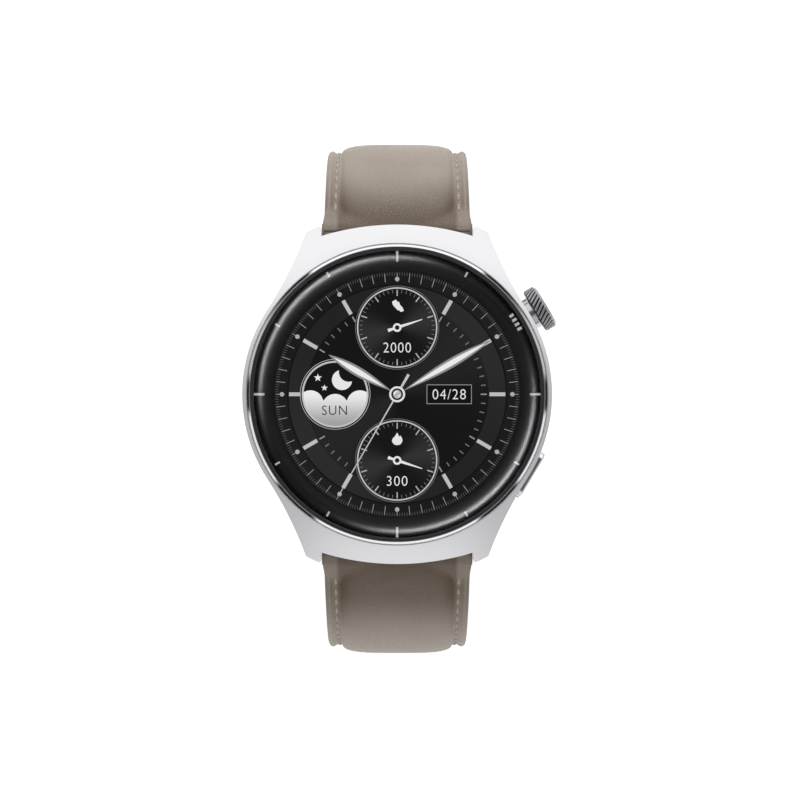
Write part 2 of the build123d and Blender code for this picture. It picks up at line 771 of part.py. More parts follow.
with BuildPart() as button_switch:
    with BuildSketch(radial(key_angle, key_post_r + wall_gap)):
        RectangleRounded(*key_switch_size, switch_round)
    extrude(amount=leaf_base_r - key_post_r - 2 * wall_gap)

# ================================ strap ================================


def strap_route(side, bend, drop, turn, flat):
    """Line between the lining and the outer leather: lead, bend to vertical, drop, turn, flat run."""
    slope = radians(leave_angle)
    lead_end = (bar_y + lead_length * cos(slope), bar_z - lead_length * sin(slope))
    vertical = (lead_end[0] + bend * (1 - sin(slope)), lead_end[1] - bend * cos(slope))
    bend_centre = (vertical[0] - bend, vertical[1])
    half = radians((90 - leave_angle) / 2)
    bend_middle = (bend_centre[0] + bend * cos(half), bend_centre[1] + bend * sin(half))
    turn_start = (vertical[0], vertical[1] - drop)
    turn_centre = (turn_start[0] - turn, turn_start[1])
    turn_middle = (turn_centre[0] + turn * cos(pi / 4), turn_centre[1] - turn * sin(pi / 4))
    turn_end = (turn_centre[0], turn_centre[1] - turn)
    tail = (turn_end[0] - flat, turn_end[1])
    points = [(side * y, z) for y, z in (
        (bar_y, bar_z), lead_end, bend_middle, vertical, turn_start, turn_middle, turn_end, tail)]
    with BuildLine(side_plane(0)) as route:
        Line(points[0], points[1])
        ThreePointArc(points[1], points[2], points[3])
        if drop:
            Line(points[3], points[4])
        ThreePointArc(points[4], points[5], points[6])
        Line(points[6], points[7])
    return route.wire()


def strap_plane(route, side, length):
    """Plane across the strap at a length along its route: local Y points out of the loop."""
    share = length / route.length
    return Plane(origin=route @ share, x_dir=(-side, 0, 0), z_dir=route % share)


def width_at(length):
    """The strap narrows evenly from the lugs to the buckle and is parallel after that."""
    share = min(length / strap_taper_length, 1)
    return strap_width + (strap_end_width - strap_width) * share


def pad_at(length):
    """Height of the padding under the outer leather."""
    share = (length - pad_full_length) / (pad_length - pad_full_length)
    return max(pad_height * (1 - min(max(share, 0), 1)), pad_least)


def stations(start, end, step=4.0):
    """Evenly spaced lengths from start to end."""
    count = max(2, round((end - start) / step))
    return [start + (end - start) * n / count for n in range(count + 1)]


def outer_section(length):
    """Outer leather: flat margins and a raised middle with a hollow for the padding."""
    half = width_at(length) / 2
    rise = pad_at(length)
    top = margin_thickness
    foot = min(pad_width / 2, half - stitch_margin)
    inner = foot - shell_wall
    Polyline(
        (-half, 0), (-inner, 0), (-inner + pad_shoulder, rise * shoulder_share), (0, rise),
        (inner - pad_shoulder, rise * shoulder_share), (inner, 0), (half, 0), (half, top), (foot, top),
        (foot - pad_shoulder, top + rise * shoulder_share), (0, top + rise),
        (-foot + pad_shoulder, top + rise * shoulder_share), (-foot, top), (-half, top), close=True,
    )


def plain_section(length):
    """Outer leather beyond the padding: a plain strip."""
    half = width_at(length) / 2
    Polyline((-half, 0), (half, 0), (half, margin_thickness), (-half, margin_thickness), close=True)


def pad_section(length):
    """Padding: a low crowned strip that fills the outer leather's hollow."""
    rise = max(pad_at(length), pad_thinnest) - 2 * glue_line
    foot = min(pad_width / 2, width_at(length) / 2 - stitch_margin)
    inner = foot - shell_wall - 2 * glue_line
    Polyline(
        (-inner, 0), (inner, 0), (inner - pad_shoulder, rise * shoulder_share), (0, rise),
        (-inner + pad_shoulder, rise * shoulder_share), close=True,
    )


def lining_section(length):
    """Lining: a plain strip on the wrist side."""
    half = width_at(length) / 2
    Polyline(
        (-half, -glue_line), (half, -glue_line), (half, -lining_thickness), (-half, -lining_thickness),
        close=True,
    )


def strap_layer(route, side, section, start, end):
    """One layer of the strap, lofted through its sections along the route."""
    sections = []
    for length in stations(start, end):
        with BuildSketch(strap_plane(route, side, length)) as profile:
            with BuildLine():
                section(length)
            make_face()
        sections.append(profile.sketch)
    loft(sections)


def straight_layer(route, side, section, start, length):
    """The straight run of one layer, in one width and thickness."""
    with BuildSketch(strap_plane(route, side, start)) as profile:
        with BuildLine():
            section(start)
        make_face()
    extrude(profile.sketch, amount=length)


short_route = strap_route(1, short_bend, 0, short_turn, short_flat)
long_route = strap_route(-1, long_bend, long_drop, long_turn, long_flat)
lining_start = roll_radius + 0.2
lining_setback = 2.2  # the lining stops this far before the roll at the buckle
buckle_end = buckle_roll_radius + 0.3


def bar_axis(side, x):
    """Plane across the spring bar at a given X."""
    return side_plane(x, side * bar_y, bar_z)


def lever_slot(route, side, reach):
    """Opening on the wrist side for the quick-release lever and its travel."""
    base = strap_plane(route, side, 0)
    down = Plane(origin=base.origin, x_dir=(1, 0, 0), z_dir=-base.y_dir)
    middle = lever_x - release_travel / 2
    with BuildSketch(down) as profile:
        with Locations((middle, 0)):
            SlotOverall(release_travel + 2 * (lever_radius + lever_end_gap), 2 * (lever_radius + lever_gap))
    extrude(profile.sketch, amount=reach, mode=Mode.SUBTRACT)


def tail_cuts(route):
    """Rounded tip and adjusting holes at the free end of the long half."""
    end = route @ 1
    with BuildSketch(Plane.XY.offset(end.Z - roll_radius)) as waste:
        with Locations((0, end.Y - tip_cut / 2 + 0.5)):
            Rectangle(strap_width, tip_cut + 1)
        with Locations((0, end.Y - tip_cut)):
            Ellipse(strap_end_width / 2, tip_cut, mode=Mode.SUBTRACT)
        with Locations(*[(0, end.Y - hole_first - n * hole_pitch) for n in range(hole_count)]):
            Circle(hole_radius)
    extrude(waste.sketch, amount=2 * roll_radius, mode=Mode.SUBTRACT)


buckle_point = short_route @ 1
buckle_heading = short_route % 1
buckle_out = strap_plane(short_route, 1, short_route.length).y_dir


def buckle_side(x):
    """Plane across the buckle at a given X: local X runs to the cross bar and local Y out of the loop."""
    return Plane(origin=buckle_point + Vector(x, 0, 0), x_dir=buckle_heading, z_dir=(1, 0, 0))


def buckle_flat(height):
    """Plane of the buckle frame: local Y runs to the cross bar, raised out of the loop by a height."""
    return Plane(origin=buckle_point + buckle_out * height, x_dir=(1, 0, 0), z_dir=buckle_out)


roll_width = strap_end_width
slot_width = tongue_width + 2 * tongue_slot_gap
bar_bore = bar_radius - bar_wall
strap_nodes = {}
for name, side, route, curved_end, end in (
    ("short", 1, short_route, short_route.length - buckle_end, short_route.length - buckle_end),
    ("long", -1, long_route, long_route.length - long_flat, long_route.length),
):
    straight = end - curved_end
    with BuildPart() as outer:
        strap_layer(route, side, outer_section, 0, pad_length)
        strap_layer(route, side, plain_section, pad_length, curved_end)
        if straight:
            straight_layer(route, side, plain_section, curved_end, straight)
        shaft(bar_axis(side, -strap_width / 2), roll_radius, strap_width)
        if name == "short":
            shaft(buckle_side(-roll_width / 2), buckle_roll_radius, roll_width)
            with BuildSketch(buckle_flat(-margin_thickness)):
                with Locations((0, -buckle_end / 2)):
                    Rectangle(roll_width, buckle_end)
            extrude(amount=2 * margin_thickness)
            with BuildSketch(buckle_flat(-2 * buckle_roll_radius)):
                Rectangle(slot_width, 4 * buckle_roll_radius)
            extrude(amount=4 * buckle_roll_radius, mode=Mode.SUBTRACT)
            bore(buckle_side(-roll_width / 2), buckle_bar_radius + run_gap, roll_width)
        else:
            tail_cuts(route)
        bore(bar_axis(side, -strap_width / 2), bar_radius + roll_gap, strap_width)
        lever_slot(route, side, lever_length)
    with BuildPart() as padding:
        strap_layer(route, side, pad_section, pad_start, pad_length - pad_end_back)
    with BuildPart() as lining:
        if straight:
            strap_layer(route, side, lining_section, lining_start, curved_end)
            straight_layer(route, side, lining_section, curved_end, straight)
            tail_cuts(route)
        else:
            strap_layer(route, side, lining_section, lining_start, end - lining_setback)
    with BuildPart() as bar_tube:
        shaft(bar_axis(side, -bar_half), bar_radius, 2 * bar_half)
        bore(bar_axis(side, -bar_half), bar_bore, 2 * bar_half)
        lever_slot(route, side, bar_radius + wall_gap)
    with BuildPart() as bar_fixed_tip:
        shaft(bar_axis(side, -lug_inner - tip_reach), tip_radius, tip_reach + lug_inner - bar_half)
        shaft(bar_axis(side, -bar_half - tip_flange), bar_radius - roll_gap, tip_flange)
        shaft(bar_axis(side, -bar_half), bar_bore - spring_play, bar_half - bar_spring_half)
    with BuildPart() as release_tip:
        shaft(bar_axis(side, bar_spring_half), bar_bore - run_gap, bar_half - bar_spring_half)
        shaft(bar_axis(side, bar_half), tip_radius, tip_reach + lug_inner - bar_half)
        lever_base = strap_plane(route, side, 0)
        lever_plane = Plane(origin=lever_base.origin + Vector(lever_x, 0, 0), x_dir=(1, 0, 0),
                            z_dir=-lever_base.y_dir)
        shaft(lever_plane, lever_radius, lever_length)
        shaft(lever_plane.offset(lever_length - lever_head), lever_radius + lever_head_lip, lever_head)
    with BuildPart() as bar_spring:
        spring_length = 2 * (bar_spring_half - bar_spring_wire / 2 - spring_play)
        with BuildLine() as spring_line:
            Helix(spring_length / bar_spring_turns, spring_length, bar_bore - bar_spring_wire,
                  center=(-spring_length / 2, side * bar_y, bar_z), direction=(1, 0, 0))
        with BuildSketch(spring_line.line ^ 0):
            Circle(bar_spring_wire / 2)
        sweep(is_frenet=True)
    strap_nodes[f"strap_{name}_outer"] = outer
    strap_nodes[f"strap_{name}_padding"] = padding
    strap_nodes[f"strap_{name}_lining"] = lining
    strap_nodes[f"bar_tube_{name}"] = bar_tube
    strap_nodes[f"bar_fixed_tip_{name}"] = bar_fixed_tip
    strap_nodes[f"release_tip_{name}"] = release_tip
    strap_nodes[f"bar_spring_{name}"] = bar_spring


def keeper(back, gap):
    """A leather loop round the short half, with room above it for the long half's tail."""
    length = short_route.length - back
    half = width_at(length - keeper_width) / 2 + gap
    low = -lining_thickness - gap
    high = margin_thickness + tail_room
    with BuildSketch(strap_plane(short_route, 1, length)) as loop:
        with Locations((0, (low + high) / 2)):
            RectangleRounded(2 * (half + keeper_wall), high - low + 2 * keeper_wall, keeper_wall)
            Rectangle(2 * half, high - low, mode=Mode.SUBTRACT)
    extrude(loop.sketch, amount=-keeper_width)


with BuildPart() as fixed_keeper:
    keeper(fixed_keeper_back, keeper_fit)

with BuildPart() as free_keeper:
    keeper(free_keeper_back, keeper_gap)

frame_front = buckle_reach + cross_bar_depth / 2
with BuildPart() as buckle_frame:
    with BuildSketch(buckle_flat(-buckle_thickness / 2)):
        with Locations((0, (frame_front - buckle_back) / 2)):
            RectangleRounded(2 * buckle_arm_outer, frame_front + buckle_back, buckle_corner)
        with Locations((0, frame_front - cross_bar_depth - buckle_reach)):
            Rectangle(2 * buckle_arm_inner, 2 * buckle_reach, mode=Mode.SUBTRACT)
    extrude(amount=buckle_thickness)
    bore(buckle_side(-buckle_arm_outer), buckle_bar_radius + groove_play, 2 * buckle_arm_outer)

with BuildPart() as buckle_bar:
    shaft(buckle_side(-buckle_arm_outer + wall_gap), buckle_bar_radius,
          2 * (buckle_arm_outer - wall_gap))

tongue_tip = frame_front + tongue_overhang
tongue_under = buckle_thickness / 2 + wall_gap
tongue_over = tongue_under + tongue_thickness
with BuildPart() as buckle_tongue:
    with BuildSketch(buckle_side(-tongue_width / 2)):
        Circle(tongue_eye_radius)
        with BuildLine():
            Polyline(
                (0, tongue_eye_radius), (tongue_neck[0], tongue_over),
                (tongue_tip - tongue_nose, tongue_over), (tongue_tip, tongue_under + tongue_nose),
                (tongue_tip - tongue_nose, tongue_under), (tongue_neck[1], tongue_under),
                (tongue_eye_radius * 0.8, -tongue_belly), (0, -tongue_belly), close=True,
            )
        make_face()
        Circle(buckle_bar_radius + run_gap, mode=Mode.SUBTRACT)
    extrude(amount=tongue_width)

# =============================== output ===============================
nodes = {
    "mid_case": mid_case,
    "bezel_ring": bezel_ring,
    "glass_gasket": glass_gasket,
    "cover_glass": cover_glass,
    "border_print": border_print,
    "display_panel": display_panel,
    "display_flex": display_flex,
    "inner_chassis": inner_chassis,
    "main_board": main_board,
    "chip_shields": chip_shields,
    "battery": battery,
    "vibration_motor": vibration_motor,
    "speaker": speaker,
    "microphone": microphone,
    "case_back": case_back,
    "back_gasket": back_gasket,
    "back_screws": back_screws,
    "sensor_window": sensor_window,
    "sensor_board": sensor_board,
    "sensor_leds": sensor_leds,
    "charge_coil": charge_coil,
    "ferrite_sheet": ferrite_sheet,
    "crown_tube": crown_tube,
    "crown_stem": crown_stem,
    "crown_knob": crown_knob,
    "crown_seals": crown_seals,
    "crown_clip": crown_clip,
    "crown_push_plate": crown_push_plate,
    "crown_spring": crown_spring,
    "crown_switch": crown_switch,
    "encoder_ring": encoder_ring,
    "encoder_sensor": encoder_sensor,
    "side_button": side_button,
    "button_seals": button_seals,
    "button_clips": button_clips,
    "button_spring": button_spring,
    "button_switch": button_switch,
    "button_bracket": button_bracket,
    "fixed_keeper": fixed_keeper,
    "free_keeper": free_keeper,
    "buckle_frame": buckle_frame,
    "buckle_bar": buckle_bar,
    "buckle_tongue": buckle_tongue,
    **strap_nodes,
}
for name, piece in nodes.items():
    piece.part.label = name
    export_step(piece.part, f"parts/{name}.step")
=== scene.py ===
"""Round steel smartwatch with a padded leather strap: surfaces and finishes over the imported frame."""

import json
from math import cos, pi, radians, sin, tau

import bmesh
import bpy
import numpy as np
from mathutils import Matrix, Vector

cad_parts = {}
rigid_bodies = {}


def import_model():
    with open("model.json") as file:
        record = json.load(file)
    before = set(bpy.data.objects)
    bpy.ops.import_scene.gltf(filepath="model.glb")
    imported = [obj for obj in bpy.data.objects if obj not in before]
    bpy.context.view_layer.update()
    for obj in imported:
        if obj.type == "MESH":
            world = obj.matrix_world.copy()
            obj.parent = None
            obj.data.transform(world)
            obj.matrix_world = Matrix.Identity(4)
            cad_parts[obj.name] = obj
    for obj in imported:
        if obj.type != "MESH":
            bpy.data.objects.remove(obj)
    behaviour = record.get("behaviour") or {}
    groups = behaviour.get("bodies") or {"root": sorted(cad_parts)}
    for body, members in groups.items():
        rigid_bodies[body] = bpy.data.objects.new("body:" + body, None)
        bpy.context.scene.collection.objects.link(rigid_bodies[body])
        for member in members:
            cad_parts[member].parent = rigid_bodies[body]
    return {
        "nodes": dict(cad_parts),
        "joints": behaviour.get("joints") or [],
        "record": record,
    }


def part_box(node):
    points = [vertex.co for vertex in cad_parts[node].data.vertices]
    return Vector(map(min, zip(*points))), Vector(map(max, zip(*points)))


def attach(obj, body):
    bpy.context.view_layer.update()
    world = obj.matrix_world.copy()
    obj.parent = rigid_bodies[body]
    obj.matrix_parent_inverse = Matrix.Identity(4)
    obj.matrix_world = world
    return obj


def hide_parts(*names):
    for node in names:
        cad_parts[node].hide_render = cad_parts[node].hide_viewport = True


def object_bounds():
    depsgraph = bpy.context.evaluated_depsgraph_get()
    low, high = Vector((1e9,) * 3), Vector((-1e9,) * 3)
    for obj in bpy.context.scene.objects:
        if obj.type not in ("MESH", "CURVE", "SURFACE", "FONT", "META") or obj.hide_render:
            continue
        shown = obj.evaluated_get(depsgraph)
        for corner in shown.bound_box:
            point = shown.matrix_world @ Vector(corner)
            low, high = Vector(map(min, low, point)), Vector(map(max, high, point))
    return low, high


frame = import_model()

bl_info = {
    "name": "Smartwatch builder",
    "version": (1, 0, 0),
    "blender": (4, 5, 0),
    "location": "View3D > Sidebar > Watch",
    "description": "Builds the surfaces and finishes of a round steel smartwatch",
    "category": "Object",
}

MM = 0.001
CAD_BOX = [list(corner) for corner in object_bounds()]


def box_mm(name):
    """Lower and upper corner of a frame piece in millimetres."""
    return [np.array(corner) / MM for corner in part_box(name)]


CASE_TOP = box_mm("mid_case")[1][2]
GLASS_LOW, GLASS_HIGH = box_mm("cover_glass")
PRINT_LOW, PRINT_HIGH = box_mm("border_print")
BEZEL_LOW, BEZEL_HIGH = box_mm("bezel_ring")
BAR_PLACE = (sum(box_mm("bar_tube_short")) / 2)[1:]  # y and z of the spring bar at 12 o'clock


# ------------------------------------------------------------------ sizes


def length_property(name, text, value, low=0.0, high=500.0):
    """A size in millimetres for the sidebar."""
    return bpy.props.FloatProperty(name=name, description=text, default=value, min=low, max=high)


def colour_property(name, text, value):
    """A colour for the sidebar."""
    return bpy.props.FloatVectorProperty(
        name=name, description=text, default=value, subtype="COLOR", size=3, min=0.0, max=1.0
    )


class WatchHeadSizes(bpy.types.PropertyGroup):
    """Sizes of the glass, its border and the crown."""

    glass_roll: length_property("Glass rim", "Radius where the glass starts to roll down", 18.6)
    print_inner: length_property("Border inside", "Inner radius of the black border", 18.25)
    knob_radius: length_property("Crown radius", "Outer radius of the crown's knurl", 3.4)
    knurl_count: bpy.props.IntProperty(
        name="Knurls", description="Helical ribs round the crown", default=30, min=8, max=120
    )
    knurl_depth: length_property("Knurl depth", "Depth of the grooves between ribs", 0.3)
    knurl_angle: bpy.props.FloatProperty(
        name="Knurl angle", description="Slant of the ribs to the crown's axis",
        default=radians(35), subtype="ANGLE",
    )


class DialSizes(bpy.types.PropertyGroup):
    """Sizes and colours of the dial on the screen, and how it is set."""

    hour: bpy.props.FloatProperty(
        name="Hour hand", description="Angle from 12, clockwise", default=radians(300), subtype="ANGLE"
    )
    minute: bpy.props.FloatProperty(
        name="Minute hand", description="Angle from 12, clockwise", default=radians(60), subtype="ANGLE"
    )
    second: bpy.props.FloatProperty(
        name="Second hand", description="Angle from 12, clockwise", default=radians(210), subtype="ANGLE"
    )
    top_dial: length_property("Upper dial", "Height of the upper small dial over the centre", 9.9)
    low_dial: length_property("Lower dial", "Depth of the lower small dial under the centre", 9.82)
    small_radius: length_property("Small dial", "Radius of the two small dials", 5.87)
    moon_radius: length_property("Moon disc", "Radius of the disc with the moon", 4.82)
    moon_place: length_property("Moon place", "Distance of the moon disc from the centre", 9.2)
    date_place: length_property("Date place", "Distance of the date box from the centre", 7.72)
    white: colour_property("Marks", "Colour of the bright marks", (0.80, 0.80, 0.82))


class StrapSizes(bpy.types.PropertyGroup):
    """Sizes and colours of the leather strap and its buckle."""

    width: length_property("Width", "Width at the lugs", 21.9)
    end_width: length_property("End width", "Width at the buckle", 18.0)
    taper: length_property("Taper", "Length over which the strap narrows", 78.0)
    leather: length_property("Leather", "Thickness of the outer leather beside the padding", 1.0)
    lining: length_property("Lining", "Thickness of the lining", 1.15)
    pad_width: length_property("Pad width", "Width of the raised middle", 16.6)
    pad_height: length_property("Pad height", "How far the middle stands above the margins", 1.2)
    stitch_pitch: length_property("Stitch pitch", "From one stitch to the next", 1.95)
    stitch_length: length_property("Stitch length", "Visible length of a stitch", 1.72)
    thread: length_property("Thread", "Thickness of the thread", 0.5)
    keeper_wall: length_property("Keeper wall", "Thickness of a keeper's leather", 1.0)
    keeper_width: length_property("Keeper width", "Width of a keeper along the strap", 4.5)
    tail_room: length_property("Tail room", "Height in a keeper for the other half", 2.6)
    hole_radius: length_property("Hole radius", "Radius of the adjusting holes", 0.95)
    hole_pitch: length_property("Hole pitch", "From one adjusting hole to the next", 5.5)
    hole_first: length_property("First hole", "From the tail's end to the first hole", 11.0)
    hole_count: bpy.props.IntProperty(
        name="Holes", description="Number of adjusting holes", default=6, min=0, max=12
    )
    colour: colour_property("Leather colour", "Colour of the outer leather", (0.186, 0.158, 0.131))
    lining_colour: colour_property("Lining colour", "Colour of the lining", (0.235, 0.180, 0.138))


# ------------------------------------------------------------------ shader maths


class Field:
    """A shader socket that Python's operators work on: each operator adds one Math node."""

    def __init__(self, finish, socket):
        self.finish = finish
        self.socket = socket

    def __add__(self, other):
        return self.finish.math("ADD", self, other)

    __radd__ = __add__

    def __mul__(self, other):
        return self.finish.math("MULTIPLY", self, other)

    __rmul__ = __mul__

    def __sub__(self, other):
        return self.finish.math("SUBTRACT", self, other)

    def __rsub__(self, other):
        return self.finish.math("SUBTRACT", other, self)

    def __truediv__(self, other):
        return self.finish.math("DIVIDE", self, other)

    def __rtruediv__(self, other):
        return self.finish.math("DIVIDE", other, self)

    def __pow__(self, other):
        return self.finish.math("POWER", self, other)

    def __abs__(self):
        return self.finish.math("ABSOLUTE", self)

    def __gt__(self, other):
        return self.finish.math("GREATER_THAN", self, other)

    def __lt__(self, other):
        return self.finish.math("LESS_THAN", self, other)


class Nodes:
    """A node tree and the few ways in which nodes are added to it."""

    def __init__(self, tree):
        self.tree = tree

    def node(self, kind, settings=None, output=0, **inputs):
        """Any node: its type, its settings, which are set first, and its sockets' values or links."""
        made = self.tree.nodes.new(kind)
        for key, value in (settings or {}).items():
            setattr(made, key, value)
        for key, value in inputs.items():
            place = int(key[1:]) if key[0] == "i" and key[1:].isdigit() else key.replace("_", " ")
            self.feed(made.inputs[place], value)
        return Field(self, made.outputs[output])

    def feed(self, socket, value):
        """Links a field to a socket, or sets the socket's own value."""
        if isinstance(value, Field):
            self.tree.links.new(value.socket, socket)
        elif isinstance(value, tuple) and socket.type == "RGBA":
            socket.default_value = (*value, 1.0)
        else:
            socket.default_value = value

    def math(self, operation, a, b=0.0, c=0.0):
        return self.node("ShaderNodeMath", {"operation": operation}, i0=a, i1=b, i2=c)

    def mix(self, factor, a, b):
        """Colour a where the factor is 0 and colour b where it is 1."""
        return self.node(
            "ShaderNodeMix", {"data_type": "RGBA"}, output=2, i0=factor, i6=a, i7=b
        )

    def place(self, centre=(0.0, 0.0, 0.0), scale=1.0, turn=(0.0, 0.0, 0.0)):
        """Object coordinates in millimetres from a centre, turned and scaled."""
        raw = self.node("ShaderNodeTexCoord", output=3)
        moved = self.node(
            "ShaderNodeVectorMath", {"operation": "SUBTRACT"}, i0=raw,
            i1=tuple(v * MM for v in centre),
        )
        return self.node(
            "ShaderNodeMapping", {"vector_type": "POINT"}, Vector=moved, Rotation=turn,
            Scale=tuple(np.broadcast_to(np.array(scale, float) / MM, 3)),
        )

    def axes(self, vector):
        """The three parts of a vector as fields."""
        split = self.tree.nodes.new("ShaderNodeSeparateXYZ")
        self.feed(split.inputs[0], vector)
        return [Field(self, out) for out in split.outputs]

    def noise(self, vector, scale, detail=3.0, roughness=0.5):
        return self.node(
            "ShaderNodeTexNoise", {"noise_dimensions": "3D"}, Vector=vector, Scale=scale,
            Detail=detail, Roughness=roughness,
        )

    def step(self, value, low, high):
        """0 below low, 1 above high and smooth between."""
        return self.node(
            "ShaderNodeMapRange", {"interpolation_type": "SMOOTHSTEP"}, Value=value,
            i1=low, i2=high, i3=0.0, i4=1.0,
        )


class Finish(Nodes):
    """One material and its Principled shader."""

    def __init__(self, name, colour=(0.5, 0.5, 0.5), **constants):
        self.material = bpy.data.materials.new(name)
        self.material.use_nodes = True
        super().__init__(self.material.node_tree)
        self.shader = self.tree.nodes["Principled BSDF"]
        self.shader.inputs["Base Color"].default_value = (*colour, 1.0)
        for key, value in constants.items():
            socket = self.shader.inputs[key.replace("_", " ")]
            socket.default_value = (*value, 1.0) if isinstance(value, tuple) else value

    def drive(self, socket, value):
        """Feeds a field to one of the shader's sockets."""
        self.feed(self.shader.inputs[socket], value)

    def bump(self, height, distance, strength=1.0):
        """Raises the surface by a height field; the distance is in millimetres."""
        normal = self.node(
            "ShaderNodeBump", Strength=strength, Distance=distance * MM, Height=height
        )
        self.drive("Normal", normal)


# ------------------------------------------------------------------ meshes


def mesh_piece(name, points, faces, body, finish, replaced=(), smooth=True, turn_out=False):
    """A piece from points in millimetres and faces as an index array or a list."""
    mesh = bpy.data.meshes.new(name)
    if isinstance(faces, np.ndarray):
        count, sides = faces.shape
        mesh.vertices.add(len(points))
        mesh.vertices.foreach_set("co", (np.asarray(points, float) * MM).ravel())
        mesh.loops.add(count * sides)
        mesh.loops.foreach_set("vertex_index", faces.ravel())
        mesh.polygons.add(count)
        mesh.polygons.foreach_set("loop_start", np.arange(0, count * sides, sides))
        mesh.polygons.foreach_set("loop_total", np.full(count, sides))
    else:
        mesh.from_pydata((np.asarray(points, float) * MM).tolist(), [], faces)
    mesh.update(calc_edges=True)
    mesh.validate()
    if turn_out:
        work = bmesh.new()
        work.from_mesh(mesh)
        bmesh.ops.remove_doubles(work, verts=work.verts, dist=1e-7)
        bmesh.ops.dissolve_degenerate(work, edges=work.edges, dist=1e-7)
        bmesh.ops.recalc_face_normals(work, faces=work.faces)
        work.to_mesh(mesh)
        work.free()
    mesh.polygons.foreach_set("use_smooth", np.full(len(mesh.polygons), smooth))
    piece = bpy.data.objects.new(name, mesh)
    bpy.context.scene.collection.objects.link(piece)
    mesh.materials.append(finish.material)
    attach(piece, body)
    if replaced:
        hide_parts(*replaced)
    return piece


def grid_faces(rows, columns, wrap_rows=False, wrap_columns=False):
    """Quads of a grid of points whose rows or columns may close on themselves."""
    r = np.arange(rows if wrap_rows else rows - 1)[:, None]
    c = np.arange(columns if wrap_columns else columns - 1)[None, :]
    r2, c2 = (r + 1) % rows, (c + 1) % columns
    corners = [r * columns + c, r * columns + c2, r2 * columns + c2, r2 * columns + c]
    return np.stack([np.broadcast_to(k, (r.size, c.size)) for k in corners], -1).reshape(-1, 4)


def closed_tube(name, points, body, finish, replaced=(), cap=True):
    """A skin over a grid of stations by points round each section, with a fan on each end."""
    stations, around = points.shape[:2]
    flat = points.reshape(-1, 3)
    faces = grid_faces(stations, around, wrap_columns=True)
    if cap:
        ends = np.stack([points[0].mean(0), points[-1].mean(0)])
        flat = np.concatenate([flat, ends])
        k = np.arange(around)
        first = np.stack([(k + 1) % around, k, np.full(around, len(flat) - 2)], -1)
        last_row = (stations - 1) * around
        tip = np.full(around, len(flat) - 1)
        last = np.stack([last_row + k, last_row + (k + 1) % around, tip], -1)
        faces = faces.tolist() + first.tolist() + last.tolist()
    return mesh_piece(name, flat, faces, body, finish, replaced, turn_out=True)


def lathe(name, profile, body, finish, replaced=(), count=256, closed=True):
    """Turns a profile of radius and height about the watch's axis: x = r cos t, y = r sin t."""
    profile = np.asarray(profile, float)
    turn = np.linspace(0, tau, count, endpoint=False)[:, None]
    radius, height = profile[:, 0][None, :], profile[:, 1][None, :]
    z = np.broadcast_to(height, (count, len(profile)))
    points = np.stack([radius * np.cos(turn), radius * np.sin(turn), z], -1)
    faces = grid_faces(count, len(profile), wrap_rows=True, wrap_columns=closed)
    return mesh_piece(name, points.reshape(-1, 3), faces, body, finish, replaced, turn_out=True)


def rounded(corners, radius, steps=5):
    """A closed outline with its corners rounded: each corner becomes points on a quadratic curve."""
    corners = np.asarray(corners, float)
    before, after = np.roll(corners, 1, 0) - corners, np.roll(corners, -1, 0) - corners
    size_b, size_a = (np.linalg.norm(v, axis=1, keepdims=True) for v in (before, after))
    reach = np.minimum(radius, np.minimum(size_b, size_a) * 0.45)
    start, end = corners + before / size_b * reach, corners + after / size_a * reach
    t = np.linspace(0, 1, steps)[None, :, None]
    curve = start[:, None] * (1 - t) ** 2 + corners[:, None] * 2 * t * (1 - t) + end[:, None] * t ** 2
    return curve.reshape(-1, 2)


# ------------------------------------------------------------------ finishes


def steel(name, colour, roughness, grain=0.0, grain_scale=(1, 1, 1)):
    """Steel with fine scratches in the roughness and a faint grain."""
    finish = Finish(name, colour, Metallic=1.0, Roughness=roughness)
    spot = finish.place(scale=grain_scale)
    fine = finish.noise(spot, 6.0, 4.0)
    cloud = finish.noise(finish.place(), 0.25, 2.0)
    finish.drive("Roughness", roughness * (0.75 + 0.5 * fine) + 0.04 * cloud)
    tone = finish.mix(cloud, tuple(v * 0.96 for v in colour), colour)
    finish.drive("Base Color", tone)
    if grain:
        finish.bump(fine, grain, 0.5)
    return finish


def plain(name, colour, roughness, speckle=0.06, scale=3.0, **constants):
    """Moulded or coated matter with slight changes of tone and a fine surface."""
    finish = Finish(name, colour, Roughness=roughness, **constants)
    grain = finish.noise(finish.place(), scale, 4.0)
    darker = tuple(v * (1 - 2 * speckle) for v in colour)
    lighter = tuple(min(1.0, v * (1 + 2 * speckle)) for v in colour)
    finish.drive("Base Color", finish.mix(grain, darker, lighter))
    finish.drive("Roughness", roughness + 0.1 * (grain - 0.5))
    finish.bump(grain, 0.01, 0.4)
    return finish


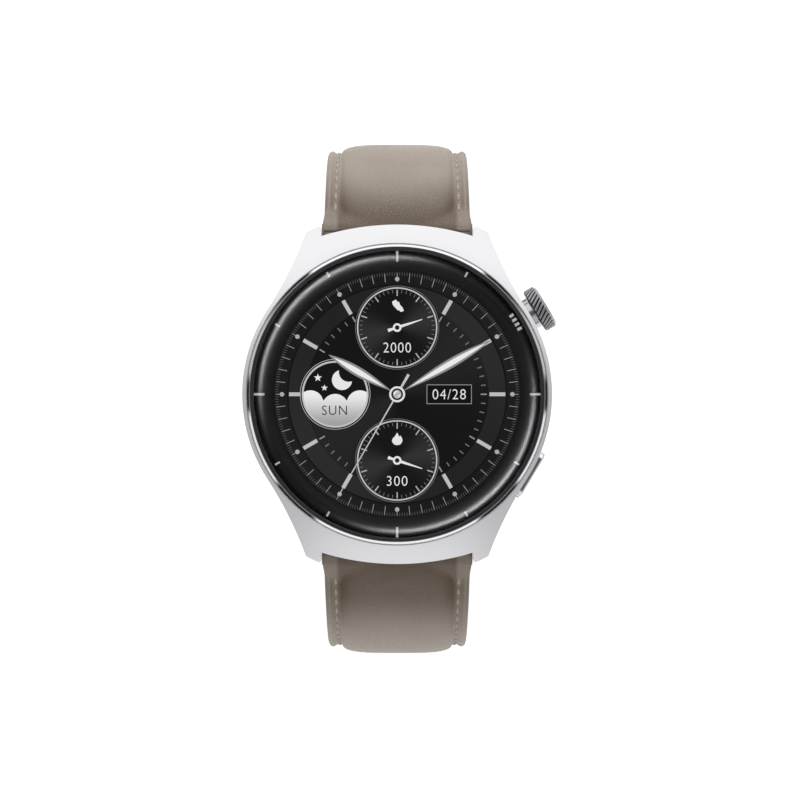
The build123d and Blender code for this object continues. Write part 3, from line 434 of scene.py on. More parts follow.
def leather(name, colour, roughness, pebble=2.6, depth=0.05, case_shade=0.0):
    """Calf leather: fine grain, pores, slow changes of tone, and painted shade that darkens the lug end."""
    finish = Finish(name, colour, Roughness=roughness, Specular_IOR_Level=0.22)
    spot = finish.place()
    slow = finish.noise(spot, 0.16, 3.0)
    cells = finish.node(
        "ShaderNodeTexVoronoi", {"feature": "DISTANCE_TO_EDGE"}, Vector=spot, Scale=pebble
    )
    crease = finish.step(cells, 0.0, 0.16)
    pores = finish.noise(spot, 9.0, 3.0)
    shade = 0.55 * slow + 0.2 * crease + 0.25 * pores
    dark = tuple(v * 0.8 for v in colour)
    light = tuple(min(1.0, v * 1.16) for v in colour)
    grain = finish.mix(shade, dark, light)
    x, y, _ = finish.axes(spot)
    # Painted shade: the colour is multiplied darker where the strap leaves the case, fading out between 28
    # and 35.5 mm along y, and shaded less on the margins than on the pad.
    margin = finish.step(abs(x), 8.5, 9.3)
    away_from_case = finish.step(abs(y + 1.5), 28.0, 35.5)
    shaded_near_case = finish.node(
        "ShaderNodeMix", {"data_type": "RGBA", "blend_type": "MULTIPLY"}, output=2,
        i0=(1 - away_from_case) * (1 - 0.55 * margin) * case_shade, i6=grain, i7=(0.37, 0.29, 0.21),
    )
    finish.drive("Base Color", shaded_near_case)
    finish.drive("Roughness", roughness + 0.14 * (1 - crease) - 0.08 * slow)
    finish.bump(0.5 * crease + 0.5 * pores, depth, 0.55)
    return finish


def glow(name, colour, strength=1.0):
    """A mark that glows: a lit mark on the screen, or painted light on a printed mark."""
    return Finish(
        name, (0.0, 0.0, 0.0), Roughness=0.5, Specular_IOR_Level=0.0, Emission_Color=colour,
        Emission_Strength=strength,
    )


def cover_glass_finish():
    """Clear glass: light passes through, and the surface only adds its reflection."""
    finish = Finish("clear_glass", (1, 1, 1), Roughness=0.02, Metallic=0.0)
    tree = finish.tree
    output = tree.nodes["Material Output"]
    clear = tree.nodes.new("ShaderNodeBsdfTransparent")
    gloss = tree.nodes.new("ShaderNodeBsdfAnisotropic")
    gloss.inputs["Roughness"].default_value = 0.26
    gloss.inputs["Color"].default_value = (0.06, 0.06, 0.062, 1.0)
    edge = finish.node("ShaderNodeFresnel", IOR=1.5)
    inside = finish.node("ShaderNodeNewGeometry", output="Backfacing")
    both = tree.nodes.new("ShaderNodeMixShader")
    finish.feed(both.inputs[0], edge * (1 - inside))
    tree.links.new(clear.outputs[0], both.inputs[1])
    tree.links.new(gloss.outputs[0], both.inputs[2])
    tree.links.new(both.outputs[0], output.inputs["Surface"])
    return finish


# ------------------------------------------------------------------ strap route


def strap_route(side):
    """Place and heading along a strap half: a chain of straight and evenly curved stretches.

    The heading starts below the horizontal and drops by length times curvature; the place is the running
    sum of its cosine and sine, mirrored for the half at 6 o'clock.
    """
    slope, lead = radians(25.0), 1.0
    quarter = pi / 2
    if side > 0:
        chain = ((lead, 0), (20.0 * (quarter - slope), 1 / 20.0), (24.0 * quarter, 1 / 24.0), (20.0, 0))
    else:
        chain = ((lead, 0), (22.5 * (quarter - slope), 1 / 22.5), (14.0, 0), (24.0 * quarter, 1 / 24.0),
                 (42.0, 0))
    knots = np.concatenate([[0], np.cumsum([size for size, _ in chain])])
    turned = np.concatenate([[0], np.cumsum([size * bend for size, bend in chain])])
    fine = np.linspace(0, knots[-1], 6001)
    heading = -slope - np.interp(fine, knots, turned)
    step = fine[1] - fine[0]
    heads = np.stack([np.cos(heading), np.sin(heading)])
    run = np.cumsum((heads[:, 1:] + heads[:, :-1]) / 2, axis=1) * step
    y, z = BAR_PLACE[:, None] + np.concatenate([np.zeros((2, 1)), run], axis=1)

    def at(length):
        """Place (y, z) and outward direction at lengths along the half."""
        length = np.asarray(length, float)
        over = np.minimum(length, 0) + np.maximum(length - knots[-1], 0)
        turn = np.interp(length, fine, heading)
        place = np.stack([
            side * (np.interp(length, fine, y) + over * np.cos(turn)),
            np.interp(length, fine, z) + over * np.sin(turn)], -1)
        outward = np.stack([-side * np.sin(turn), np.cos(turn)], -1)
        return place, outward

    return at, knots[-1]


def lay_on_route(at, length, across, rise):
    """Points of a strap surface from length along, distance across and rise out of the loop."""
    place, outward = at(length)
    across, rise = np.broadcast_arrays(across, rise)
    y = place[..., 0] + outward[..., 0] * rise
    z = place[..., 1] + outward[..., 1] * rise
    return np.stack([across, y, z], -1)


def smooth_step(value, low, high):
    t = np.clip((value - low) / (high - low), 0, 1)
    return t * t * (3 - 2 * t)


def strap_half_width(sizes, length):
    """Half the width: a little fuller at the roll, then an even taper to the buckle."""
    share = np.clip(length / sizes.taper, 0, 1)
    full = LUG_FULL * (1 - smooth_step(length, 1.5, 4.0))
    return (sizes.width + (sizes.end_width - sizes.width) * share) / 2 + full


PAD_FADE = (34.0, 66.0)
ROLL_RADIUS = 2.2
LUG_FULL = 0.27  # extra half width of the leather where it fills the gap between the lugs
SHOULDER = 4  # power of the raised middle's outline: higher is boxier


def pad_foot(sizes, length):
    """Half the width of the raised middle, which stays inside the stitched margins."""
    return np.minimum(sizes.pad_width / 2, strap_half_width(sizes, length) - 1.75)


def strap_top(sizes, length, across):
    """Height of the outer leather over the glue line.

    Margins lie flat with a small bead along the edge and a stitched channel beside it; the middle rises as
    (1 - (a / foot)^4)^(1/2); at the lug end all of it blends into the roll.
    """
    half = strap_half_width(sizes, length)
    foot = pad_foot(sizes, length)
    a = np.abs(across)
    fade = 1 - np.clip((length - PAD_FADE[0]) / (PAD_FADE[1] - PAD_FADE[0]), 0, 1)
    body = np.sqrt(np.clip(1 - np.clip(a / foot, 0, 1) ** SHOULDER, 0, 1))
    middle = sizes.pad_height * fade * body
    bead = 0.22 * np.exp(-((a - (half - 0.62)) / 0.36) ** 2)
    channel = -0.2 * np.exp(-((a - (half - 1.55)) / 0.42) ** 2)
    edge_on = smooth_step(length, 3.2, 5.0)
    roll = (ROLL_RADIUS - sizes.leather) * (1 - smooth_step(length, 1.0, 5.2))
    return sizes.leather + np.maximum(middle, roll) + (bead + channel) * edge_on


def section_across(count):
    """Places across the strap from -1 to 1, closer together at the margins' details."""
    u = np.linspace(-1, 1, count)
    return np.sign(u) * (0.25 * np.abs(u) + 0.75 * (1 - (1 - np.abs(u)) ** 1.7))


# ------------------------------------------------------------------ operators: case


class WATCH_OT_glass(bpy.types.Operator):
    """Builds the domed glass, its gasket, the polished bezel and the black border with its ticks"""

    bl_idname = "watch.glass"
    bl_label = "Glass and bezel"

    def execute(self, context):
        sizes = context.scene.watch_head
        outer, top, base = GLASS_HIGH[0], GLASS_HIGH[2], GLASS_LOW[2]
        edge = base + 0.6
        roll = sizes.glass_roll
        t = np.linspace(0, pi / 2, 28)
        out, up = roll + (outer - roll) * np.sin(t) ** 1.15, edge + (top - 0.2 - edge) * np.cos(t)
        rim = np.stack([out, up], -1)
        r = np.linspace(0.02, roll, 24)[:-1]
        dome = np.stack([r, top - 0.2 * (r / roll) ** 2], -1)
        profile = np.concatenate([dome, rim, [(outer, base + 0.05), (outer - 0.05, base), (0.02, base)]])
        lathe("cover_glass_dome", profile, "case", cover_glass_finish(), ("cover_glass",), 320)
        ring = rounded([(BEZEL_HIGH[0], BEZEL_LOW[2]), (BEZEL_HIGH[0], CASE_TOP + 0.05),
                        (BEZEL_HIGH[0] - 0.5, BEZEL_HIGH[2]), (BEZEL_HIGH[0] - 0.5, BEZEL_LOW[2])], 0.06)
        lathe("bezel_polished", ring, "case", steel("polished_steel", (0.84, 0.84, 0.86), 0.06),
              ("bezel_ring",), 320)
        seal = rounded([(outer + 0.45, BEZEL_LOW[2]), (outer + 0.45, edge - 0.02),
                        (outer + 0.06, edge + 0.04),
                        (outer + 0.06, BEZEL_LOW[2])], 0.1)
        lathe("glass_seal", seal, "case", plain("seal_rubber", (0.012, 0.012, 0.013), 0.55),
              ("glass_gasket",), 256)
        low = PRINT_HIGH[2] - 0.03
        border = [(sizes.print_inner, low), (outer - 0.03, low), (outer - 0.03, low + 0.012),
                  (sizes.print_inner, low + 0.012)]
        black = Finish("border_black", (0.0035, 0.0035, 0.0038), Roughness=0.35, Specular_IOR_Level=0.1)
        lathe("border_ring", border, "case", black, ("border_print",), 320)
        marks = Marks(low + 0.02)
        marks.bars(np.radians([0, 90, 180, 270]), 19.7, 21.25, 0.34)
        marks.bars(np.radians([30, 120, 150, 210, 240, 300, 330]), 20.1, 20.9, 0.27)
        for place in np.radians([55.5, 57.6, 59.7, 61.8]):
            marks.bars(np.array([place]), 20.25, 20.95, 0.42)
        # Painted light: these ticks are print on the border under the glass, and they glow grey in place of
        # being lit by the lamps.
        marks.piece("border_ticks", glow("tick_print", (0.42, 0.42, 0.43)), "black_print")
        return {"FINISHED"}


class Marks:
    """Flat marks collected at one height over the screen, then made one thin piece."""

    def __init__(self, height):
        self.height = height
        self.points, self.faces, self.count = [], [], 0

    def add(self, outlines):
        """Outlines as an array: mark, corner, (x, y)."""
        outlines = np.asarray(outlines, float)
        total, corners = outlines.shape[:2]
        flat = outlines.reshape(-1, 2)
        self.points.append(np.column_stack([flat, np.full(len(flat), self.height)]))
        index = np.arange(total * corners).reshape(total, corners) + self.count
        area = np.sum(
            outlines[..., 0] * np.roll(outlines[..., 1], -1, 1)
            - np.roll(outlines[..., 0], -1, 1) * outlines[..., 1], axis=1)
        index[area < 0] = index[area < 0][:, ::-1]
        self.faces.extend(index.tolist())
        self.count += total * corners

    def bars(self, angles, inner, outer, width, centre=(0, 0), outer_width=None):
        """Radial bars at angles clockwise from 12."""
        outer_width = width if outer_width is None else outer_width
        out = np.stack([np.sin(angles), np.cos(angles)], -1)[:, None]
        across = np.stack([np.cos(angles), -np.sin(angles)], -1)[:, None]
        r = np.array([inner, outer, outer, inner])[None, :, None]
        w = np.array([-width, -outer_width, outer_width, width])[None, :, None] / 2
        self.add(np.asarray(centre) + out * r + across * w)

    def discs(self, centres, radius, count=28):
        turn = np.linspace(0, tau, count, endpoint=False)
        circle = np.stack([np.cos(turn), np.sin(turn)], -1) * radius
        self.add(np.asarray(centres, float)[:, None] + circle)

    def ring(self, centre, inner, outer, count=160, start=0.0, stop=tau):
        turn = np.linspace(start, stop, count + 1)
        out = np.stack([np.sin(turn), np.cos(turn)], -1)
        a, b = np.asarray(centre) + out * inner, np.asarray(centre) + out * outer
        self.add(np.stack([a[:-1], a[1:], b[1:], b[:-1]], 1))

    def words(self, body, centre, height, width, turn=0.0):
        """Numbers or letters, fitted into a height and a width."""
        curve = bpy.data.curves.new("figures", "FONT")
        curve.body = body
        curve.resolution_u = 5
        curve.offset = -0.008
        curve.space_character = 1.12
        maker = bpy.data.objects.new("figures", curve)
        bpy.context.scene.collection.objects.link(maker)
        mesh = bpy.data.meshes.new_from_object(maker.evaluated_get(bpy.context.evaluated_depsgraph_get()))
        bpy.data.objects.remove(maker)
        co = np.empty(len(mesh.vertices) * 3)
        mesh.vertices.foreach_get("co", co)
        co = co.reshape(-1, 3)[:, :2]
        low, high = co.min(0), co.max(0)
        co = (co - (low + high) / 2) / (high - low) * (width, height)
        rot = np.array([[cos(turn), -sin(turn)], [sin(turn), cos(turn)]])
        co = co @ rot.T + centre
        self.points.append(np.column_stack([co, np.full(len(co), self.height)]))
        for polygon in mesh.polygons:
            corners = [v + self.count for v in polygon.vertices]
            self.faces.append(corners if polygon.normal.z > 0 else corners[::-1])
        self.count += len(co)
        bpy.data.meshes.remove(mesh)

    def piece(self, name, finish, slot, body="case", replaced=()):
        made = mesh_piece(name, np.concatenate(self.points), self.faces, body, finish, replaced,
                          smooth=False)
        skin = made.modifiers.new("thickness", "SOLIDIFY")
        skin.thickness, skin.offset = 0.004 * MM, -1.0
        return made


class WATCH_OT_crown(bpy.types.Operator):
    """Builds the crown with its helical knurl and domed end"""

    bl_idname = "watch.crown"
    bl_label = "Crown"

    def execute(self, context):
        sizes = context.scene.watch_head
        joint = next(j for j in frame["joints"] if j["name"] == "crown_turn")
        axis = np.array(joint["axis"])
        across = np.array([-axis[1], axis[0], 0.0])
        height = joint["pos_m"][2] / MM
        inner, outer, radius = 23.8, 25.8, sizes.knob_radius
        around = sizes.knurl_count * 14
        turn = np.linspace(0, tau, around, endpoint=False)[None, :]
        t = np.linspace(0, 1, 34)[:, None]
        edge = 0.42
        along = inner + (outer - inner) * t
        from_edge = np.minimum(along - inner, outer - 0.12 - along)
        near_edge = np.clip(edge - from_edge, 0, edge)
        barrel = radius - edge + np.sqrt(np.clip(edge ** 2 - near_edge ** 2, 0, None))
        phase = sizes.knurl_count * (turn + np.tan(sizes.knurl_angle) * (along - inner) / radius)
        groove = np.clip(np.abs(np.sin(phase / 2)), 0, 1) ** 0.6
        inside = smooth_step(from_edge, 0.02, 0.4)
        r_side = barrel - sizes.knurl_depth * (1 - groove) * inside
        cap_t = np.linspace(0, 1, 10)[1:, None]
        r_cap = np.broadcast_to((radius - edge) * (1 - cap_t * 0.999), (9, around))
        along_cap = np.broadcast_to(outer - 0.12 + 0.12 * np.sin(cap_t * pi / 2), (9, around))
        back_r = np.broadcast_to(np.array([[1.25], [2.55], [2.55]]), (3, around))
        back_along = np.broadcast_to(np.array([[inner + 0.62], [inner + 0.62], [inner]]), (3, around))
        r_all = np.concatenate([back_r, r_side, r_cap])
        along_all = np.concatenate([back_along, np.broadcast_to(along, (34, around)), along_cap])
        c, s = np.cos(turn), np.sin(turn)
        points = (along_all[..., None] * axis + (r_all * c)[..., None] * across
                  + (r_all * s)[..., None] * np.array([0, 0, 1.0]) + np.array([0, 0, height]))
        # Painted shade: the crown's steel gets a darker colour than the case's. The grooves between the
        # ribs, the rounded back edge and the stem are coloured near black, and only the crests and the
        # domed end keep the steel colour.
        finish = steel("crown_steel", (0.34, 0.34, 0.35), 0.2)
        px, py, pz = finish.axes(finish.place((0.0, 0.0, height)))
        run = px * float(axis[0]) + py * float(axis[1])
        from_axis = finish.math("SQRT", px * px + py * py + pz * pz - run * run)
        crest = finish.step(from_axis, radius - 0.17, radius - 0.04)
        cap = finish.step(run, outer - 0.45, outer - 0.3)
        finish.drive("Base Color", finish.mix(
            finish.math("MAXIMUM", crest, cap), (0.012, 0.012, 0.013), (0.34, 0.34, 0.35)))
        closed_tube("crown_knurled", points, "crown", finish, ("crown_knob",))
        return {"FINISHED"}


# ------------------------------------------------------------------ operators: dial


DIAL_Z = PRINT_LOW[2] + 0.004  # the lit face lies on the display panel, under the glass
LAYER = 0.006


def dial_height(layer):
    """Height of a layer of the picture over the display panel."""
    return DIAL_Z + LAYER * layer


def face_finish():
    """The dark dial face: fine rays, fine rings and lighter bands, all by distance from the centre."""
    finish = Finish("dial_face", (0.0, 0.0, 0.0), Roughness=0.4, Specular_IOR_Level=0.0,
                    Emission_Strength=1.0)
    x, y, _ = finish.axes(finish.place())
    r = finish.math("SQRT", x * x + y * y)
    angle = finish.math("ARCTAN2", y, x)
    ray = finish.math("COSINE", (angle - FACE_RAY_TURN) * 2.0)
    rays = 0.5 + 0.5 * ray
    hair = finish.noise(finish.node("ShaderNodeCombineXYZ", i0=angle * 26.0, i1=r * 0.05, i2=0.0), 3.0, 2.0)
    rings = 0.5 + 0.5 * finish.math("SINE", r * (tau / 0.42))
    centre = 0.0035 + 0.010 * (rays ** 3.0) + 0.004 * (hair - 0.5) + 0.0025 * rings * rays
    band = 0.012 + 0.009 * rays + 0.004 * (hair - 0.5)
    outer = 0.006 + 0.004 * rays
    in_band = finish.step(r, 13.55, 13.62) * (1 - finish.step(r, 16.1, 16.17))
    past = finish.step(r, 16.2, 16.3)
    value = centre * (1 - in_band) * (1 - past) + band * in_band + outer * past
    colour = finish.node("ShaderNodeCombineColor", i0=value, i1=value, i2=value * 1.04)
    finish.drive("Emission Color", colour)
    return finish


def small_dial_finish(name, centre):
    """A small dial whose grey rays turn about its own centre."""
    finish = Finish(name, (0.0, 0.0, 0.0), Roughness=0.4, Specular_IOR_Level=0.0, Emission_Strength=1.0)
    x, y, _ = finish.axes(finish.place((*centre, 0.0)))
    r = finish.math("SQRT", x * x + y * y)
    angle = finish.math("ARCTAN2", y, x)
    ray = 0.5 + 0.5 * finish.math("COSINE", (angle - SMALL_RAY_TURN) * 2.0)
    rings = 0.5 + 0.5 * finish.math("SINE", r * (tau / 0.3))
    value = 0.004 + 0.022 * (ray ** 3.0) + 0.003 * rings * ray
    light = finish.node("ShaderNodeCombineColor", i0=value, i1=value, i2=value * 1.03)
    finish.drive("Emission Color", light)
    return finish


def leaf(angle, start, tip, width, widest=0.55, count=40):
    """A leaf-shaped hand: half width = w sin(pi t^k) from hub to tip, turned to its angle."""
    t = np.linspace(0, 1, count)
    power = np.log(0.5) / np.log(widest)
    half = width / 2 * np.sin(pi * t ** power) ** 0.9
    along = start + (tip - start) * t
    side = np.concatenate([half, -half[::-1][1:-1]])
    run = np.concatenate([along, along[::-1][1:-1]])
    out, across = np.array([sin(angle), cos(angle)]), np.array([cos(angle), -sin(angle)])
    return run[:, None] * out + side[:, None] * across


def star(centre, radius, points=5, turn=0.0):
    """A five-pointed star outline."""
    k = np.arange(2 * points)
    r = np.where(k % 2 == 0, radius, radius * 0.42)
    a = turn + k * pi / points
    return np.asarray(centre) + np.stack([r * np.sin(a), r * np.cos(a)], -1)


# Rings of bars on the dial: inner radius, outer radius, width
FINE_TICKS = (17.6, 18.1, 0.07)
INNER_DASHES = (12.5, 13.2, 0.17)
MINUTE_TICKS = (16.7, 18.0, 0.1)
HOUR_DASHES = (12.4, 13.3, 0.2)
HOUR_BARS = (13.7, 16.05, 0.56)
NINE_BAR = (14.35, 16.05, 0.56)  # shorter, because the moon disc covers its foot
SMALL_MINOR_TICKS = (5.15, 5.6, 0.09)
SMALL_TICKS = (4.7, 5.62, 0.17)
SMALL_RAY_TURN = radians(15)
FACE_RAY_TURN = radians(38)


def lit(name, layer, finish, *shapes):
    """A lit piece of the dial: each shape is the name of a way to draw marks, and what it is given."""
    marks = Marks(dial_height(layer))
    for way, *values in shapes:
        getattr(marks, way)(*values)
    return marks.piece(name, finish, "screen")


class WATCH_OT_dial(bpy.types.Operator):
    """Builds the lit dial: bands, ticks, small dials, moon disc, date box and hands"""

    bl_idname = "watch.dial"
    bl_label = "Dial"

    def execute(self, context):
        d = context.scene.watch_dial
        white = np.array(d.white)
        bright = glow("mark_bright", tuple(white))
        grey = glow("mark_grey", tuple(white * 0.36))
        dim = glow("mark_dim", tuple(white * 0.13))
        black = glow("mark_black", (0.002, 0.002, 0.002))
        top, low = (0.0, d.top_dial), (0.0, -d.low_dial)
        moon, date = (-d.moon_place, 0.0), (d.date_place, 0.0)
        small = (top, low, moon)

        lit("dial_face", 0, face_finish(), ("discs", [(0, 0)], 18.6, 240))
        hours = np.radians(np.arange(12) * 30.0)
        minutes = np.radians(np.arange(60) * 6.0)
        fifths = np.radians(np.arange(300) * 1.2)
        lit("fine_ticks", 1, dim, ("bars", fifths, *FINE_TICKS))
        lit("inner_dashes", 1, glow("dash_grey", tuple(white * 0.2)),
            ("bars", self.uncovered(minutes, small), *INNER_DASHES))
        lit("minute_ticks", 2, grey, ("bars", minutes, *MINUTE_TICKS),
            ("bars", self.uncovered(hours, small), *HOUR_DASHES))
        lit("minute_ring", 2, black, ("ring", (0, 0), 16.12, 16.32, 240))
        lit("hour_bars", 3, glow("bar_silver", tuple(white * 0.66)),
            ("bars", np.radians([30, 60, 90, 120, 150, 210, 240, 300, 330]), *HOUR_BARS),
            ("bars", np.radians([270]), *NINE_BAR))
        lit("hour_dots", 3, glow("dot_silver", (0.42, 0.42, 0.44)),
            ("discs", np.stack([np.sin(hours), np.cos(hours)], -1) * 17.1, 0.33))
        for name, centre, turn in (("upper", top, radians(72)), ("lower", low, radians(108))):
            self.small_dial(name, centre, turn, d.small_radius, black, bright)
        lit("figures", 6, bright, ("words", "2000", (0.0, d.top_dial - 2.96), 1.5, 4.1),
            ("words", "300", (0.0, -d.low_dial - 3.04), 1.45, 3.06), ("words", "04/28", date, 1.5, 4.94))
        self.icons(bright, top, low)
        self.moon(moon, d.moon_radius)
        self.date_box(date, black)
        self.hands(d)
        return {"FINISHED"}

    def uncovered(self, angles, small):
        """The angles at which the inner ring of dashes is clear of the small dials and the moon disc."""
        places = np.stack([np.sin(angles), np.cos(angles)], -1) * 12.8
        gaps = [np.hypot(*(places - centre).T) for centre in small]
        return angles[np.min(gaps, axis=0) >= 6.3]

    def small_dial(self, name, centre, turn, radius, black, bright):
        """A small dial with its rings, ticks and hand."""
        lit(f"{name}_dial_edge", 3.5, black, ("discs", [centre], radius + 0.35, 120))
        lit(f"{name}_dial_plate", 4, small_dial_finish(f"{name}_dial_grey", centre),
            ("discs", [centre], radius, 120))
        lit(f"{name}_dial_ring", 5, glow(f"{name}_ring_silver", (0.55, 0.55, 0.56)),
            ("ring", centre, radius - 0.1, radius + 0.1))
        lit(f"{name}_dial_minor", 4.5, glow(f"{name}_minor_grey", (0.17, 0.17, 0.175)),
            ("ring", centre, radius + 0.27, radius + 0.35),
            ("bars", np.radians(np.arange(50) * 7.2), *SMALL_MINOR_TICKS, centre))
        lit(f"{name}_dial_ticks", 5, glow(f"{name}_tick_silver", (0.45, 0.45, 0.46)),
            ("bars", np.radians(np.arange(10) * 36.0), *SMALL_TICKS, centre))
        lit(f"{name}_dial_hand", 6, bright, ("bars", np.array([turn]), 0.5, 3.9, 0.42, centre, 0.12),
            ("bars", np.array([turn + pi]), 0.5, 1.43, 0.3, centre, 0.5), ("ring", centre, 0.34, 0.64, 40))

    def icons(self, bright, top, low):
        """A shoe over the upper hand and a flame over the lower one."""
        shoe = rounded([(-0.78, 0.62), (-0.2, 0.98), (0.08, 0.6), (0.3, 0.62), (0.4, 0.2), (0.78, -0.2),
                        (1.02, -0.72), (0.5, -0.9), (0.3, -0.62), (0.1, -0.66), (-0.62, 0.12)], 0.12)
        flame = rounded([(0.02, 1.0), (0.2, 0.5), (0.36, 0.3), (0.44, 0.56), (0.74, 0.1), (0.8, -0.35),
                         (0.5, -0.82), (0, -0.95), (-0.5, -0.82), (-0.8, -0.35), (-0.68, 0.05),
                         (-0.3, 0.42)], 0.3)
        over_hand = 3.2
        lit("small_icons", 6, bright, ("add", [shoe + (top[0], top[1] + over_hand)]),
            ("add", [flame + (low[0], low[1] + over_hand)]))

    def moon(self, centre, radius):
        """A night sky over pale clouds, with a crescent and stars, inside a silver ring."""
        lit("moon_sky", 4, glow("sky_black", (0.004, 0.004, 0.0045)),
            ("discs", [centre], radius + 0.4, 120))
        lit("moon_ring", 7, glow("ring_silver", (0.55, 0.55, 0.56)),
            ("ring", centre, radius - 0.13, radius + 0.13), ("ring", centre, radius + 0.33, radius + 0.4))
        cloud, rounding = 1.95, ((-3.67, 0.58), (0.0, 0.05), (3.67, 0.58))
        x = np.linspace(-radius + 0.06, radius - 0.06, 91)
        low = -np.sqrt((radius - 0.03) ** 2 - x ** 2)
        tops = [h + np.sqrt(np.clip(cloud ** 2 - (x - c) ** 2, 0, None)) - cloud for c, h in rounding]
        high = np.maximum(np.max(tops, axis=0), low + 0.01)
        a, b = np.stack([x, low], -1), np.stack([x, high], -1)
        pale = Finish("cloud_pale", (0, 0, 0), Roughness=0.5, Specular_IOR_Level=0.0, Emission_Strength=1.0)
        _, y, _ = pale.axes(pale.place((*centre, 0.0)))
        tone = pale.step(y, -radius, 0.9)
        pale.drive("Emission Color", pale.mix(tone, (0.36, 0.36, 0.37), (0.88, 0.88, 0.89)))
        lit("clouds", 5, pale,
            ("add", np.asarray(centre) + np.stack([a[:-1], a[1:], b[1:], b[:-1]], 1)))
        lit("moon_and_stars", 6, glow("moon_white", (0.82, 0.82, 0.83)),
            ("add", [np.asarray(centre) + self.crescent((1.02, 2.13), 1.5, (2.0, 3.3), 1.45)]),
            ("add", [star(np.add(centre, (-2.57, 2.45)), 0.62)]),
            ("add", [star(np.add(centre, (-1.59, 0.95)), 0.5)]))
        lit("day_name", 6, glow("day_dark", (0.01, 0.01, 0.012)),
            ("words", "SUN", np.add(centre, (-0.1, -2.37)), 1.4, 3.7))

    def crescent(self, middle, radius, bite, bite_radius):
        """The outline of a disc from which a second disc is bitten."""
        turn = np.linspace(0, tau, 72, endpoint=False)
        whole = np.asarray(middle) + radius * np.stack([np.cos(turn), np.sin(turn)], -1)
        left = np.hypot(*(whole - bite).T) > bite_radius
        first = int(np.argmax(left & ~np.roll(left, 1)))
        arc = np.roll(whole, -first, 0)[: int(left.sum())]
        start, stop = [np.arctan2(*(p - bite)[::-1]) for p in (arc[-1], arc[0])]
        if stop > start:
            stop -= tau
        sweep = np.linspace(start, stop, 40)[1:-1]
        inner = np.asarray(bite) + bite_radius * np.stack([np.cos(sweep), np.sin(sweep)], -1)
        return np.concatenate([arc, inner])

    def date_box(self, centre, black):
        """A thin light frame round the date."""
        size = np.array([6.7, 2.9])
        half = np.array([[-1, -1], [1, -1], [1, 1], [-1, 1]]) * size / 2
        lit("date_frame", 4, glow("date_silver", (0.30, 0.30, 0.31)), ("add", [np.asarray(centre) + half]))
        lit("date_plate", 5, black, ("add", [np.asarray(centre) + half * (size - 0.2) / size]))

    def hands(self, d):
        """Hour, minute and second hands over a ringed hub."""
        hands = ((d.hour, 11.8, 1.45), (d.minute, 16.1, 1.4))
        lit("hand_edges", 8, glow("hand_grey", (0.26, 0.26, 0.27)),
            *(("add", [leaf(angle, 0.9, tip, width)]) for angle, tip, width in hands))
        lit("hand_cores", 9, glow("hand_white", (0.85, 0.85, 0.86)),
            *(("add", [leaf(angle, 2.0, tip - 0.9, width * 0.55)]) for angle, tip, width in hands))
        lit("second_hand", 10, glow("second_silver", (0.55, 0.55, 0.56)),
            ("bars", np.array([d.second]), 0.6, 17.1, 0.22, (0, 0), 0.12),
            ("bars", np.array([d.second + pi]), 0.6, 3.4, 0.3, (0, 0), 0.42))
        lit("hub_ring", 11, glow("hub_white", (0.78, 0.78, 0.79)), ("discs", [(0, 0)], 1.18, 60))
        lit("hub_gap", 12, glow("hub_black", (0.004, 0.004, 0.004)), ("discs", [(0, 0)], 0.88, 60))
        lit("hub_ball", 13, glow("hub_silver", (0.45, 0.45, 0.46)), ("discs", [(0, 0)], 0.62, 48))


# ------------------------------------------------------------------ operators: strap


